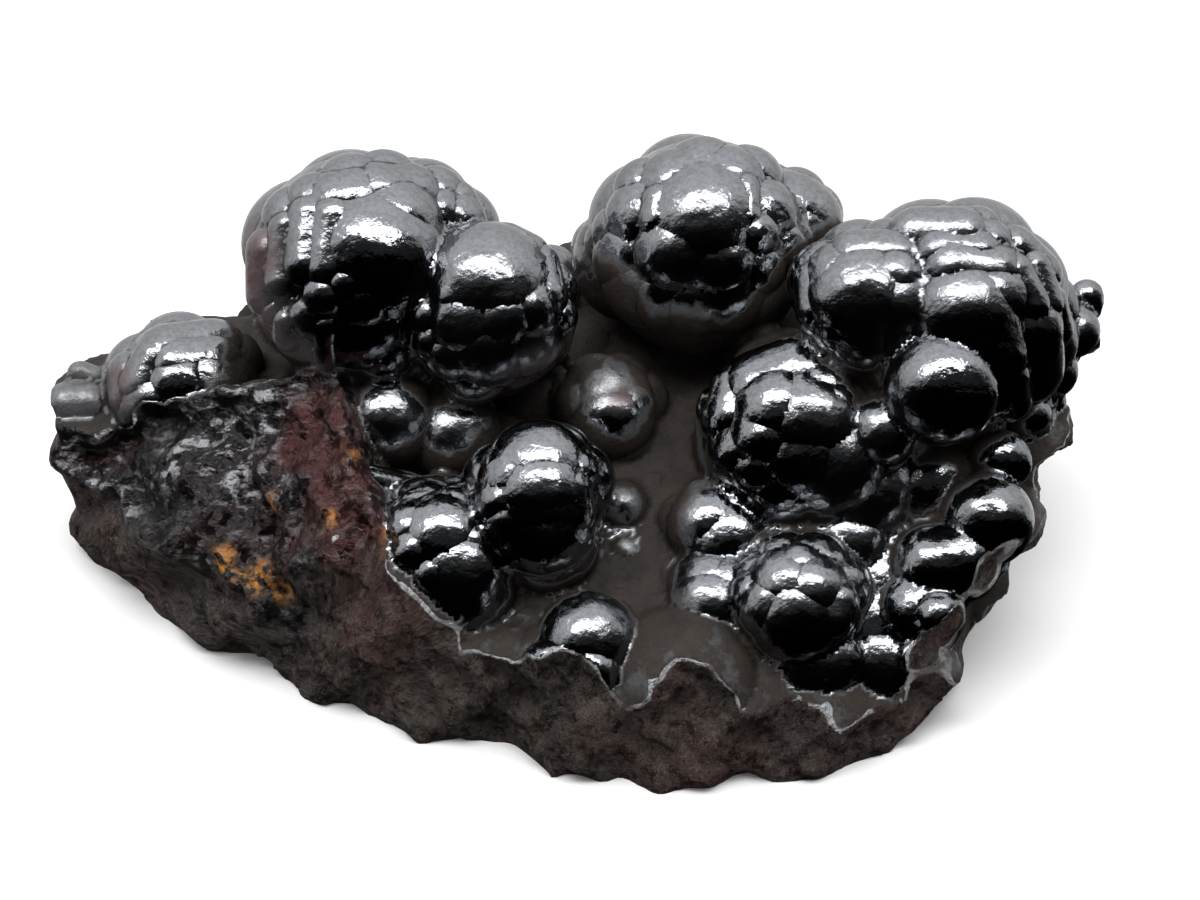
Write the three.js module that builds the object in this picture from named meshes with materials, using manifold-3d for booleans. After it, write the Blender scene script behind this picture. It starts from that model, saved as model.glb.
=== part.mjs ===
// Kidney ore: one piece of botryoidal hematite, a stone of rounded domes on a broken root.
//
// Every dome is a ball whose skin swells into smaller lumps. The domes stand on a common
// root, and the root was broken out of its vein, so its sides and underside are rough
// break faces that cut through the outer domes. Millimetres, +Z up, the rest face at Z = 0,
// and the box of the stone is centred on X = Y = 0.
//
// Directions on a dome are given as a bearing and a height in degrees: bearing 0 faces the
// front (-Y), bearing 90 faces +X, and height 90 is straight up.

import * as THREE from 'three';
import { ConvexGeometry } from 'three/addons/geometries/ConvexGeometry.js';
import { mergeVertices } from 'three/addons/utils/BufferGeometryUtils.js';
import Module from 'manifold-3d';

const wasm = await Module();
wasm.setup();

// ---- driving dimensions, mm ----

const FACET = 3.8; // edge of a facet on a lump
const DOME_INSET = 1.5; // a dome's own ball lies this far inside the lumps of its skin
const LUMP_RISE = 0.4; // a lump's crown stands this far past its dome's radius
const FLATNESS = 0.6; // 1 gives lumps like separate balls, 0 gives one smooth ball
const FILL_COUNT = 26; // filling lumps on a whole dome; only its back keeps them
const FILL_SIZE = 0.4; // of the dome's radius
const FILL_CLEAR = 30; // degrees between a filling lump and the given ones
const SHORTEST_EDGE = 1.2; // shorter edges are drawn together where lumps meet
const BREAK_FACET = 7; // edge of a facet on a break face
const BREAK_ROUGHNESS = 1.1; // how far the break faces wander
const FILL_LOWEST = -0.3; // sine of the height of the lowest filling lumps
const FILL_FRONT = -0.15; // the filling starts this far in front of the dome's middle
const FLOOR_COUNT = 90; // places for low lumps on the floor between and behind the domes
const FLOOR_SPACING = 9.2;
const FLOOR_DEPTH = 0.62; // of the floor's length
const FLOOR_MIDDLE = 2; // how far back the middle of the floor lies
const FLOOR_TOP = 20.4; // height of its lumps in the middle
const FLOOR_RISE = 0.17; // for each mm towards the back
const FLOOR_BOWL = 0.0015; // rise towards both ends
const LEFT_END_DROP = 7;
const FLOOR_LUMP = 12; // radius
const ROOT_REACH = 1.05; // the root starts out larger than what is left after the break
const GOLDEN_ANGLE = THREE.MathUtils.degToRad(137.508); // spreads the filling lumps evenly

// Domes: centre, radius, and the lumps that can be told apart on each one, as
// [bearing, height, size of the lump, how far it stands out past the others]. A ridge is a
// lump drawn out between two such places: [[bearing, height], [bearing, height], size, out].
const DOMES = [
  {
    // back left
    at: [-30.5, 18.5, 43],
    radius: 18.3,
    lumps: [
      [20, 45, 9, 0.6], [55, 60, 6], [95, 40, 4], [95, 30, 3.5, 1.5], [110, 42, 3.5, 1],
      [103, 35, 2.5, 1.5], [-135, 85, 4], [130, 70, 4], [140, 35, 4], [-70, 65, 3.5],
      [-75, 50, 3.5], [-2, 30, 2.5], [5, 20, 3.5], [3, 0, 5.5], [-44, 5, 2], [-22, 10, 2.5],
      [-15, 23, 2.5], [15, -15, 3.5], [122, 36, 5, 1], [107, 18, 5, 2.3],
    ],
    ridges: [
      [[-40, 74], [-5, 80], 4], [[70, 77], [100, 60], 4], [[-22, 62], [-15, 36], 2.5],
      [[-48, 58], [-30, 35], 2.5], [[-57, 46], [-42, 23], 2], [[-63, 30], [-52, 10], 2.5, 0.4],
      [[-35, 4], [-36, -5], 1.5], [[-13, 8], [-14, -10], 1.5],
    ],
  },
  {
    // left of the middle
    at: [-12.5, 11, 41],
    radius: 13.5,
    lumps: [
      [8, 75, 8.5, 1], [45, 32, 4], [-60, 53, 2.5], [-30, 48, 3], [-18, 30, 5], [16, 32, 4],
      [3, 6, 5.5], [38, 7, 4.5], [-52, 22, 3], [-42, 8, 2.5], [-26, 0, 3.5], [-10, -25, 3.5],
      [90, 26, 2.5],
    ],
    ridges: [
      [[135, 68], [108, 55], 2.5], [[97, 48], [67, 32], 2.5], [[-10, 51], [25, 48], 3],
      [[70, 13], [95, -37], 2],
    ],
  },
  {
    // back middle
    at: [18.5, 26, 42],
    radius: 17.3,
    lumps: [
      [-2, 55, 8, 0.8], [-160, 87, 4.5], [100, 60, 4], [-66, 39, 5], [-60, 12, 5.5],
      [-46, -2, 5.5], [-21, 29, 5.5, 0.3], [11, 25, 5], [35, 37, 3.5], [60, 42, 5], [125, 20, 4],
      [57, 23, 3], [32, 17, 3.5], [-25, 0, 4.5], [-9, 0, 4.5], [16, 5, 5.5], [35, -2, 3],
      [-74, 22, 3], [-81, 10, 2.5], [-90, 50, 3.5],
    ],
    ridges: [
      [[-68, 69], [68, 74], 5], [[-47, 54], [-40, 44], 2], [[82, 30], [70, 20], 2],
      [[127, -10], [120, -19], 2.5], [[48, 62], [32, 47], 1.5],
    ],
  },
  {
    // back middle, left foot
    at: [8, 31, 36],
    radius: 9,
    lumps: [[-65, 75, 7.5], [-35, 25, 7.5], [-10, -15, 7.5]],
  },
  {
    // back middle, right foot
    at: [30, 28, 43.5],
    radius: 9.5,
    lumps: [[-25, 65, 7.5], [45, 65, 6.5], [60, 40, 6.5], [0, 30, 4.5], [30, 35, 4.5], [-5, 5, 6]],
  },
  {
    // back right
    at: [52.5, 9.3, 40.9],
    radius: 18,
    lumps: [[-83, 63, 2.5], [29, 48, 4], [16, -4, 3.5], [72, 73, 2.5], [117, 77, 2.5]],
    ridges: [
      [[-97, 69], [20, 87], 3, 0.8], [[-40, 73], [32, 73], 2.5], [[-12, 67], [40, 60], 3],
      [[5, 42], [11, 15], 6, 0.6], [[51, 21], [54, -10], 4], [[52, 54], [49, 36], 2],
      [[73, 47], [62, 30], 2], [[87, 58], [82, 39], 2.5], [[26, 4], [32, -16], 2],
      [[66, 28], [65, 13], 2],
    ],
  },
  {
    // right
    at: [41.3, 7.4, 45.6],
    radius: 12,
    lumps: [
      [-70, 48, 4], [-27, 38, 7.5, 0.3], [33, 57, 3.5], [26, 29, 6], [59, 30, 2.5], [87, 47, 3],
      [-13, 5, 5], [17, 5, 4.5], [-35, 8, 3],
    ],
    ridges: [[[-80, 70], [78, 71], 3], [[-80, 29], [-58, 12], 2.5]],
  },
  {
    // middle
    at: [32, 1, 26],
    radius: 16.5,
    lumps: [
      [-36, 55, 5, 0.4], [5, 54, 6.5, 0.4], [-34, 35, 4.5], [-48, 18, 4.5], [0, 26, 6],
      [25, 15, 8, 0.5], [33, 71, 3], [-17, 3, 5], [-32, 16, 3.5], [-84, 30, 2.5], [42, 86, 3.5],
      [29, 59, 2.5], [52, 11, 3.5],
    ],
    ridges: [[[-85, 58], [-115, 85], 4.5], [[-92, 47], [-71, 32], 3.5]],
  },
  {
    // front right
    at: [30.5, -24, 17],
    radius: 10.5,
    lumps: [
      [-51, 66, 4.5], [30, 62, 4.5], [-48, 34, 4], [-9, 31, 6], [-73, 32, 2.5], [-31, 88, 2.5],
    ],
    ridges: [[[48, 38], [37, 28], 2.5]],
  },
  {
    // front rim
    at: [33, -27.5, 9.7],
    radius: 8,
    lumps: [[52, 40, 2.5]],
    ridges: [[[-45, 40], [23, 47], 5]],
  },
  {
    // front left of the middle
    at: [-5, -12, 26],
    radius: 11,
    lumps: [
      [125, 86, 6.5, 0.8], [-57, 58, 4.5], [10, 54, 6, 0.4], [8, 31, 6.5], [9, -3, 6, 0.8],
      [-45, 30, 3], [-27, 16, 3], [77, 50, 2.5], [-13, -17, 3], [31, -7, 3],
    ],
    ridges: [[[45, 44], [36, 21], 2.5]],
  },
  {
    // valley, upper
    at: [20.5, -11, 17],
    radius: 9.5,
    lumps: [[-60, 65, 5, 0.5], [18, 49, 5.5, 0.3], [-10, 40, 4]],
  },
  {
    // valley, lower
    at: [20.5, -21, 13],
    radius: 9,
    lumps: [[-117, 60, 5, 0.5], [87, 84, 3.5], [-47, 49, 5, 0.4], [-36, 26, 4]],
  },
  {
    // dusty middle
    at: [4.5, 8, 25],
    radius: 9,
    lumps: [
      [-8, 77, 6.5], [8, 30, 5.5, 0.5], [23, -24, 4], [-64, 45, 3.5], [44, 44, 3.5], [-15, 0, 3],
    ],
  },
  {
    // front left
    at: [-18.5, -15.5, 18],
    radius: 12,
    lumps: [
      [-64, 60, 4.5], [10, 69, 6, 0.3], [-30, 46, 3], [44, 48, 3], [109, 76, 2.5], [51, 30, 3],
      [22, -26, 3],
    ],
    ridges: [[[28, 25], [33, -4], 6, 0.8], [[-3, 30], [10, 13], 2.5]],
  },
  {
    // far left
    at: [-57.8, 15.5, 22.3],
    radius: 13,
    lumps: [[6, 50, 4.5], [49, 40, 6.5], [-29, 26, 5.5], [107, 36, 3.5], [11, 28, 5]],
    ridges: [
      [[-57, 76], [111, 56], 4], [[0, 67], [69, 56], 3.5], [[-48, 66], [-42, 40], 3],
      [[-70, 39], [-49, 27], 2.5],
    ],
  },
  {
    // behind, far left
    at: [-60, 28, 17],
    radius: 8,
  },
  {
    // behind, left
    at: [-36, 31, 26],
    radius: 14,
  },
  {
    // behind, middle
    at: [-6, 37, 24.5],
    radius: 8.5,
  },
  {
    // behind, right
    at: [23, 38, 27],
    radius: 13,
  },
  {
    // behind, far right
    at: [54, 25, 29],
    radius: 14,
  },
];

// Single lumps between the domes, as [x, y, z, radius].
const LUMPS = [
  // between the front domes
  [42, -26, 8.5, 7], [38.5, -12.5, 18.5, 7], [44.5, -1, 27, 8], [40, -6, 22, 10],
  [2, -28.5, 14.5, 7.2], [6.5, -7, 20, 4], [-3.5, -16, 21.3, 6.8], [7, -13, 16.5, 3],
  [4, -15, 13.5, 4],
  // wide saddles under the front right domes
  [33, -14, 10, 12], [41, -19, 7, 12], [43.5, -14, 10, 11.5], [49, -5, 22, 8.5],
  // the string of lumps down the right-hand edge
  [50, -6.5, 41.5, 8], [42.5, -7.5, 34.5, 5], [53, -2.5, 25, 4], [59.5, -6, 28, 4.5],
  [57, -14.5, 24.5, 6.5], [49.5, -26.5, 17.5, 4], [47.5, -23, 15, 6.5],
  // right-hand flank
  [66, 14.5, 39, 6.5], [65.5, 9, 38, 6], [71.5, 13, 36.5, 4], [68, 8, 33, 4],
  [67, 8, 27.5, 4], [64.5, 3, 29, 3.5], [66.5, 3.5, 26, 3],
  // left of the middle
  [-17.5, 2.5, 25.5, 7], [-5.5, 14, 23, 7.5], [-26.5, 2, 29, 7],
  // saddles that fuse the back domes
  [-19, 22.5, 12, 15.5], [-2.5, 20.5, 10, 14.5],
];

// Single lumps drawn out into ridges, as [start, end, radius].
const RIDGES = [
  // between the front domes
  [[27.5, -34, 8], [32.5, -34, 7.5], 2.5], [[-3, -33.5, 14], [2, -33.5, 14], 4.6],
  [[49.5, -19, 20], [53, -18.5, 20.5], 6], [[-30, -10, 28], [-23.5, -8, 24.5], 2.5],
  // end of the string, right-hand tip, far left tip
  [[46, -29.5, 13], [48, -29.5, 14], 2.5], [[74, 18, 39], [74.5, 15, 33.5], 2.5],
  [[-74.5, 11.5, 24], [-71.5, 11.5, 24], 3.5], [[-73, 15, 27], [-71, 15, 26], 2],
];

// Wide low lumps of the valley floor and of the broken front rim.
const GROUND_LUMPS = [
  [-33, -20, 3, 23.6], [-10, -29, 3, 13], [-1, -31, 5, 12.5], [14.7, -31, 8, 11.7],
  [25, -31, 1, 12], [32, -30, 0, 12.8], [-12, -16, 2, 15], [3, -20, 1, 14.5],
  [47, -27, 6, 7], [0, -8, -1, 16], [9, 3, 1, 16], [13, 15, 4, 16], [-14, 4, 3, 16],
  [-7, 15, 4, 16], [10, -20, 0, 14], [26, -16, 2, 14], [38, -18, 4, 12], [22, 0, 6, 14],
  [18, -21, 4, 12], [21, -12, 4, 13],
];

// The side faces of the break: outline of the rest face, points that they pass through on
// the way up, and their outline high above the stone.
const REST_OUTLINE = [
  [-75, 6], [-69, 0.5], [-62, -7], [-54.5, -13.8], [-39, -24], [-24.5, -31], [3.5, -41.8],
  [17, -42.3], [31, -40.2], [38, -38.8], [45.5, -34.5], [50, -28], [52.5, -21], [56, -8],
  [60, 10], [56, 30], [35, 42], [-5, 44], [-45, 36], [-68, 24],
];
const SIDE_POINTS = [
  [-77.2, 7, 27], [-67, 1.5, 24], [62, -19, 22], [69.5, -5, 30], [76.5, 9, 38], [79, 24, 42],
  [64, 42, 40], [20, 50, 40], [-30, 44, 36], [-64, 34, 28], [-76.5, 20, 26],
];
const TOP_OUTLINE = [
  [-79, 10], [-66, 5], [-24.5, -10], [17, -18], [45, -18.5], [60, -13], [75, 0], [80, 10],
  [81, 25], [66, 43], [20, 51], [-31, 45], [-65, 35], [-78, 20],
];
const SIDES_TOP = 80; // the side faces run on up to here, clear of the domes

// The root that carries the domes, as the corners of plain blocks.
const GROUND_TOP = [
  [-77.5, 5, 23], [-66, 1, 21], [-39, -19, 17], [-20, -34, 12], [3, -43, 10], [18, -44, 11],
  [25, -43, 9], [31, -42, 6], [39, -41, 6], [47, -36, 6], [51.5, -21.5, 11], [55, -12, 16],
  [60, 0, 22], [69, 14, 28], [70, 26, 28], [60, 38, 26], [20, 47, 24], [-30, 43, 22],
  [-62, 32, 22], [-76, 18, 22],
];
const LEFT_SHOULDER = [
  [-73, 2, 0], [-66.5, 1.5, 23], [-65, -6, 22.4], [-57, -18, 0], [-53, -17, 16],
  [-48, -20, 16], [-41, -28, 0], [-30, -30, 10], [-60, 3, 30.5], [-47, 3, 35],
  [-34, 1, 38.5], [-33, 8, 34], [-50, 10, 28], [-66, 6, 24], [-20, 10, 0],
];
const FRONT_SHOULDER = [
  [-41, -26, 10], [-38.5, -24, 22], [-25.8, -26, 26.8], [-27.3, -17.2, 30.5], [-30, -12.4, 32.3],
  [-31.5, -7, 35], [-33.5, 0.5, 38.6], [-45, 2, 34], [-30, 6, 30], [-22, -8, 14],
  [-23, -29, 8], [-23, -20, 18],
];
const RIGHT_FLANK = [
  [48.5, -20, 0], [54.5, -12, 20], [63, -2, 26], [72, 8, 34], [76, 24, 34], [62, 40, 28],
  [40, 38, 24], [45, -5, 20], [60, 10, 0], [56, 30, 0], [30, 10, 0], [30, 40, 0],
];
const LEFT_END = [
  [-79, 4, 0], [-79, 5, 24], [-67, -3, 21], [-79, 19, 24], [-66, 35, 24], [-40, 30, 26],
  [-45, 5, 26], [-72, 27, 0], [-40, 30, 0], [-50, -5, 0],
];

// Pieces broken off the front left, each one the space beyond its flat faces,
// as [point on the face, direction out of the stone].
const BREAKS = [
  [
    [[-50, -13.5, 16], [-0.245, -0.731, 0.635]],
    [[-41, -18, 22], [-0.95, -0.1, -0.3]],
    [[-62, 2, 30], [0.5, -0.6, -0.6]],
  ],
  [
    [[-38.5, -18.9, 22], [-0.447, -0.496, 0.744]],
    [[-27.5, -22, 26], [-0.95, -0.3, -0.1]],
    [[-40, 2, 36], [0, -1, -0.3]],
  ],
  [
    [[-12, -33.3, 3], [-0.1, -0.97, 0.23]],
    [[-5.5, -36.5, 3], [-0.75, -0.65, 0.15]],
  ],
];
const BREAK_REACH = 45; // how far out of the stone a broken-off piece reached

// ---- helpers ----

const radians = THREE.MathUtils.degToRad;

function solidOf(geometry) {
  geometry.deleteAttribute('normal');
  geometry.deleteAttribute('uv');
  const merged = mergeVertices(geometry, 1e-4);
  return new wasm.Manifold(
    new wasm.Mesh({
      numProp: 3,
      vertProperties: new Float32Array(merged.attributes.position.array),
      triVerts: new Uint32Array(merged.index.array),
    }),
  );
}

// Joins neighbours in the list two by two until one solid is left.
function joinAll(solids) {
  let list = solids;
  while (list.length > 1) {
    const next = [];
    for (let i = 0; i < list.length; i += 2) {
      next.push(i + 1 < list.length ? list[i].add(list[i + 1]) : list[i]);
    }
    list = next;
  }
  return list[0];
}

// A faceted ball, turned by its own place so that no two balls share a plane. The half of
// it that faces the end moves there, which draws the ball out into a ridge.
function ball(start, radius, end = start) {
  const [x, y, z] = start;
  const steps = Math.max(2, Math.round((1.05 * radius) / FACET));
  const geometry = new THREE.IcosahedronGeometry(radius, steps - 1);
  geometry.rotateX(x + 2 * y);
  geometry.rotateY(y + 2 * z);
  const line = new THREE.Vector3(...end).sub(new THREE.Vector3(...start));
  const position = geometry.attributes.position;
  for (let i = 0; i < position.count; i++) {
    const point = new THREE.Vector3().fromBufferAttribute(position, i);
    if (point.dot(line) > 0) position.setXYZ(i, ...point.add(line));
  }
  geometry.translate(x, y, z);
  return solidOf(geometry);
}

function direction(bearing, height) {
  const [a, h] = [radians(bearing), radians(height)];
  return [Math.sin(a) * Math.cos(h), -Math.cos(a) * Math.cos(h), Math.sin(h)];
}

function along([x, y, z], [u, v, w], distance) {
  return [x + u * distance, y + v * distance, z + w * distance];
}

function hull(points) {
  return new ConvexGeometry(points.map((p) => new THREE.Vector3(...p)));
}

// The body that lies beyond all of the given faces, out to BREAK_REACH from the first.
function wedge(faces) {
  const centre = new THREE.Vector3(...faces[0][0]);
  const planes = faces.map(([point, out]) => {
    const normal = new THREE.Vector3(...out).normalize().negate();
    return new THREE.Plane().setFromNormalAndCoplanarPoint(normal, new THREE.Vector3(...point));
  });
  for (const axis of [0, 1, 2]) {
    for (const side of [-1, 1]) {
      const normal = new THREE.Vector3().setComponent(axis, side);
      const point = centre.clone().addScaledVector(normal, BREAK_REACH);
      planes.push(new THREE.Plane().setFromNormalAndCoplanarPoint(normal, point));
    }
  }
  const corners = [];
  for (let i = 0; i < planes.length; i++) {
    for (let j = i + 1; j < planes.length; j++) {
      for (let k = j + 1; k < planes.length; k++) {
        const corner = meetingPoint(planes[i], planes[j], planes[k]);
        if (corner && planes.every((p) => p.distanceToPoint(corner) < 1e-6)) corners.push(corner);
      }
    }
  }
  return new ConvexGeometry(corners);
}

function meetingPoint(a, b, c) {
  const bc = new THREE.Vector3().crossVectors(b.normal, c.normal);
  const determinant = a.normal.dot(bc);
  if (Math.abs(determinant) < 1e-6) return null;
  const ca = new THREE.Vector3().crossVectors(c.normal, a.normal);
  const ab = new THREE.Vector3().crossVectors(a.normal, b.normal);
  return bc
    .multiplyScalar(-a.constant)
    .addScaledVector(ca, -b.constant)
    .addScaledVector(ab, -c.constant)
    .divideScalar(determinant);
}

// Splits the longest edges in half until none is longer than BREAK_FACET. Edges inside
// the flat rest face are left alone.
function refined(geometry) {
  geometry.deleteAttribute('normal');
  const merged = mergeVertices(geometry, 1e-4);
  const points = [];
  for (let i = 0; i < merged.attributes.position.count; i++) {
    points.push(new THREE.Vector3().fromBufferAttribute(merged.attributes.position, i));
  }
  let faces = [];
  for (let i = 0; i < merged.index.count; i += 3) {
    faces.push([0, 1, 2].map((k) => merged.index.getX(i + k)));
  }
  const onRestFace = (face) => face.every((i) => points[i].z < 0.001);
  for (;;) {
    let longest = BREAK_FACET;
    let split = null;
    for (const face of faces) {
      if (onRestFace(face)) continue;
      for (let k = 0; k < 3; k++) {
        const [a, b] = [face[k], face[(k + 1) % 3]];
        const length = points[a].distanceTo(points[b]);
        if (length > longest + 1e-9) [longest, split] = [length, [a, b]];
      }
    }
    if (!split) break;
    const [a, b] = split;
    const middle = points.push(points[a].clone().lerp(points[b], 0.5)) - 1;
    faces = faces.flatMap((face) => {
      if (!face.includes(a) || !face.includes(b)) return [face];
      return [
        face.map((i) => (i === a ? middle : i)),
        face.map((i) => (i === b ? middle : i)),
      ];
    });
  }
  return { points, faces };
}

// Waves that shift each corner of a break face, so that it wanders like a real break.
// Nothing leaves the plane Z = 0.
function roughened(geometry) {
  const { points, faces } = refined(geometry);
  const position = new Float32Array(points.length * 3);
  points.forEach(({ x, y, z }, i) => {
    const lift = Math.min(1, z / 6);
    const push = [
      Math.sin(0.31 * y + 0.47 * z + 1) + 0.6 * Math.sin(0.93 * z - 0.71 * y),
      Math.sin(0.37 * x - 0.29 * z) + 0.6 * Math.sin(0.81 * x + 0.67 * z + 2),
      lift * (Math.sin(0.41 * x + 0.23 * y) + 0.6 * Math.sin(0.77 * y - 0.9 * x)),
    ];
    position.set(along([x, y, z], push, BREAK_ROUGHNESS), 3 * i);
  });
  const rough = new THREE.BufferGeometry();
  rough.setAttribute('position', new THREE.BufferAttribute(position, 3));
  rough.setIndex(faces.flat());
  return rough;
}

// Draws every edge shorter than SHORTEST_EDGE together into one corner, so that the joins
// between the lumps leave no slivers. An edge stays if its loss would pinch the skin or
// turn a face over, and the rest face keeps its corners at Z = 0.
function withoutSlivers({ vertProperties, triVerts }) {
  const points = [];
  for (let i = 0; i < vertProperties.length; i += 3) {
    points.push(new THREE.Vector3(...vertProperties.subarray(i, i + 3)));
  }
  const faces = [];
  const around = points.map(() => new Set());
  for (let i = 0; i < triVerts.length; i += 3) {
    const face = [...triVerts.subarray(i, i + 3)];
    face.forEach((corner) => around[corner].add(faces.length));
    faces.push(face);
  }
  const neighbours = (a) => new Set([...around[a]].flatMap((f) => faces[f]).filter((c) => c !== a));
  const normal = (face, moved, place) => {
    const [p, q, r] = face.map((c) => (moved.includes(c) ? place : points[c]));
    return new THREE.Vector3().crossVectors(q.clone().sub(p), r.clone().sub(p));
  };
  const drawTogether = (a, b) => {
    const shared = [...neighbours(a)].filter((c) => neighbours(b).has(c));
    if (shared.length !== 2) return false;
    const onRestFace = [a, b].find((c) => points[c].z < 0.001);
    const place = points[onRestFace ?? a].clone();
    if (onRestFace === undefined) place.lerp(points[b], 0.5);
    if (points[a].z < 0.001 && points[b].z < 0.001) place.lerp(points[b], 0.5);
    for (const f of new Set([...around[a], ...around[b]])) {
      if (faces[f].includes(a) && faces[f].includes(b)) continue;
      const [before, after] = [normal(faces[f], [], place), normal(faces[f], [a, b], place)];
      const wasSliver = before.length() < 0.05;
      if (after.length() < Math.min(0.05, before.length())) return false;
      if (!wasSliver && before.normalize().dot(after.normalize()) < 0.4) return false;
    }
    for (const f of around[b]) {
      if (faces[f].includes(a)) {
        for (const corner of faces[f]) around[corner].delete(f);
        faces[f] = null;
      } else {
        faces[f] = faces[f].map((c) => (c === b ? a : c));
        around[a].add(f);
      }
    }
    points[a].copy(place);
    around[b].clear();
    return true;
  };
  for (let changed = true; changed; ) {
    changed = false;
    const short = [];
    for (const face of faces) {
      for (let k = 0; face && k < 3; k++) {
        const [a, b] = [face[k], face[(k + 1) % 3]];
        const length = points[a].distanceTo(points[b]);
        if (a < b && length < SHORTEST_EDGE) short.push([length, a, b]);
      }
    }
    short.sort((p, q) => p[0] - q[0]);
    for (const [, a, b] of short) {
      const still = neighbours(a).has(b) && points[a].distanceTo(points[b]) < SHORTEST_EDGE;
      if (still && drawTogether(a, b)) changed = true;
    }
  }
  const geometry = new THREE.BufferGeometry().setFromPoints(points);
  geometry.setIndex(faces.filter(Boolean).flat());
  return mergeVertices(geometry, 1e-6);
}

// ---- the domes and their lumps ----

// Radius of the ball that makes a flat lump on a dome, without moving its creases.
function flatter(size, radius) {
  return radius / (1 + FLATNESS * (radius / size - 1));
}

// A dome: its own ball, the lumps and ridges that are given for it, and smaller ones that
// fill its back, spread like the seeds of a sunflower and kept clear of the given ones.
function dome({ at, radius, lumps = [], ridges = [] }) {
  const balls = [ball(at, radius - DOME_INSET)];
  const taken = [];
  const round = lumps.map(([bearing, height, ...rest]) => {
    const place = [bearing, height];
    return [place, place, ...rest];
  });
  for (const [start, end, size, out = 0] of [...round, ...ridges]) {
    const r = flatter(size, radius);
    const ways = [direction(...start), direction(...end)];
    const [from, to] = ways.map((way) => along(at, way, radius + out + LUMP_RISE - r));
    balls.push(ball(from, r, to));
    taken.push(...ways.map((way) => new THREE.Vector3(...way)));
  }
  const r = flatter(FILL_SIZE * radius, radius);
  for (let i = 0; i < FILL_COUNT; i++) {
    const rise = 1 - (2 * (i + 0.5)) / FILL_COUNT;
    const turn = GOLDEN_ANGLE * i;
    const ring = Math.sqrt(1 - rise * rise);
    const way = new THREE.Vector3(ring * Math.cos(turn), ring * Math.sin(turn), rise);
    const atBack = rise > FILL_LOWEST && way.y > FILL_FRONT;
    if (atBack && taken.every((other) => other.angleTo(way) > radians(FILL_CLEAR))) {
      balls.push(ball(along(at, way.toArray(), radius + LUMP_RISE - r), r));
    }
  }
  return joinAll(balls);
}

// Low lumps that cover the root behind and between the domes, set out like the seeds of
// a sunflower and a little uneven in height and size.
function floorLumps() {
  const lumps = [];
  for (let i = 1; i < FLOOR_COUNT; i++) {
    const out = FLOOR_SPACING * Math.sqrt(i);
    const x = out * Math.cos(GOLDEN_ANGLE * i);
    const y = FLOOR_DEPTH * out * Math.sin(GOLDEN_ANGLE * i) + FLOOR_MIDDLE;
    const hiddenFront = y < -18 || (x < -24 && y < 8) || (x > -24 && x < 26 && y < 14);
    if (hiddenFront || x < -62 || x > 72 || y > 46) continue;
    const drop = x < -42 && y > 12 ? LEFT_END_DROP : 0;
    const top = FLOOR_TOP + FLOOR_RISE * y + FLOOR_BOWL * x * x + 2 * Math.sin(2.4 * i) - drop;
    const r = FLOOR_LUMP + 1.5 * Math.sin(1.7 * i);
    lumps.push(ball([x, y, top - r], r));
  }
  return lumps;
}

// ---- the stone ----

const skin = [
  ...DOMES.map(dome),
  ...[...LUMPS, ...GROUND_LUMPS].map(([x, y, z, r]) => ball([x, y, z], r)),
  ...RIDGES.map(([start, end, r]) => ball(start, r, end)),
  ...floorLumps(),
];
const rootFoot = REST_OUTLINE.map(([x, y]) => [x * ROOT_REACH, y * ROOT_REACH, 0]);
const root = [
  [...rootFoot, ...GROUND_TOP],
  LEFT_SHOULDER,
  FRONT_SHOULDER,
  RIGHT_FLANK,
  LEFT_END,
].map((points) => solidOf(hull(points)));
const restFace = REST_OUTLINE.map(([x, y]) => [x, y, 0]);
const sidesTop = TOP_OUTLINE.map(([x, y]) => [x, y, SIDES_TOP]);
const sides = solidOf(roughened(hull([...restFace, ...SIDE_POINTS, ...sidesTop])));

let stone = joinAll([...skin, ...root]).intersect(sides);
for (const faces of BREAKS) stone = stone.subtract(solidOf(roughened(wedge(faces))));

const geometry = withoutSlivers(stone.getMesh());
geometry.computeBoundingBox();
const middle = geometry.boundingBox.getCenter(new THREE.Vector3());
geometry.translate(-middle.x, -middle.y, 0);

const hematite = new THREE.MeshStandardMaterial({ color: 0x2b2d31, metalness: 0.85, roughness: 0.25 });
const specimen = new THREE.Mesh(geometry, hematite);
specimen.name = 'hematite_specimen';

const group = new THREE.Group();
group.add(specimen);
export default group;
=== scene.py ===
# %% [markdown]
# # A piece of kidney ore
#
# Kidney ore is hematite, an iron ore that grew as bundles of fine fibres fanning out from
# many points at once. Each bundle ends in a smooth, shining dome, and where domes met they
# pressed creases into each other. The stone was broken out of its vein, so its sides show
# the fibres in section, dull and red-brown, under a thin bright rim of skin.
#
# We build it as one mesh: balls and plain blocks are melted together, the sides are broken
# off, and the surface is then measured point by point, so that the material knows where
# skin, crease, dust and broken stone are.

import math

import bmesh
import bpy
import numpy as np
from mathutils import Matrix, Vector, noise
from mathutils.bvhtree import BVHTree


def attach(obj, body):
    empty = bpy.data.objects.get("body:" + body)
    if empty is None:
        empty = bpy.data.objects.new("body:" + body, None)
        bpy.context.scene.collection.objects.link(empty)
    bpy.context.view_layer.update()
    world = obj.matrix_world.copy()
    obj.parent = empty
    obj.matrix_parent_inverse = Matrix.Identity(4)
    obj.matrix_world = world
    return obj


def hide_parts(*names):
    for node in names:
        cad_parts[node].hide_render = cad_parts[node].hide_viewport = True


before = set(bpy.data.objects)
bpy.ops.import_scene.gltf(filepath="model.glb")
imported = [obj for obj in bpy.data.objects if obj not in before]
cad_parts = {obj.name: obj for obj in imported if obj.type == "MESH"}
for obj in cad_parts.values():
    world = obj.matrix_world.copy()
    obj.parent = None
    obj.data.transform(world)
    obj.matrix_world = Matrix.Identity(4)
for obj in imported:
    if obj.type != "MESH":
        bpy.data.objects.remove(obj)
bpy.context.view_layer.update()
scene = bpy.context.scene

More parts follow.
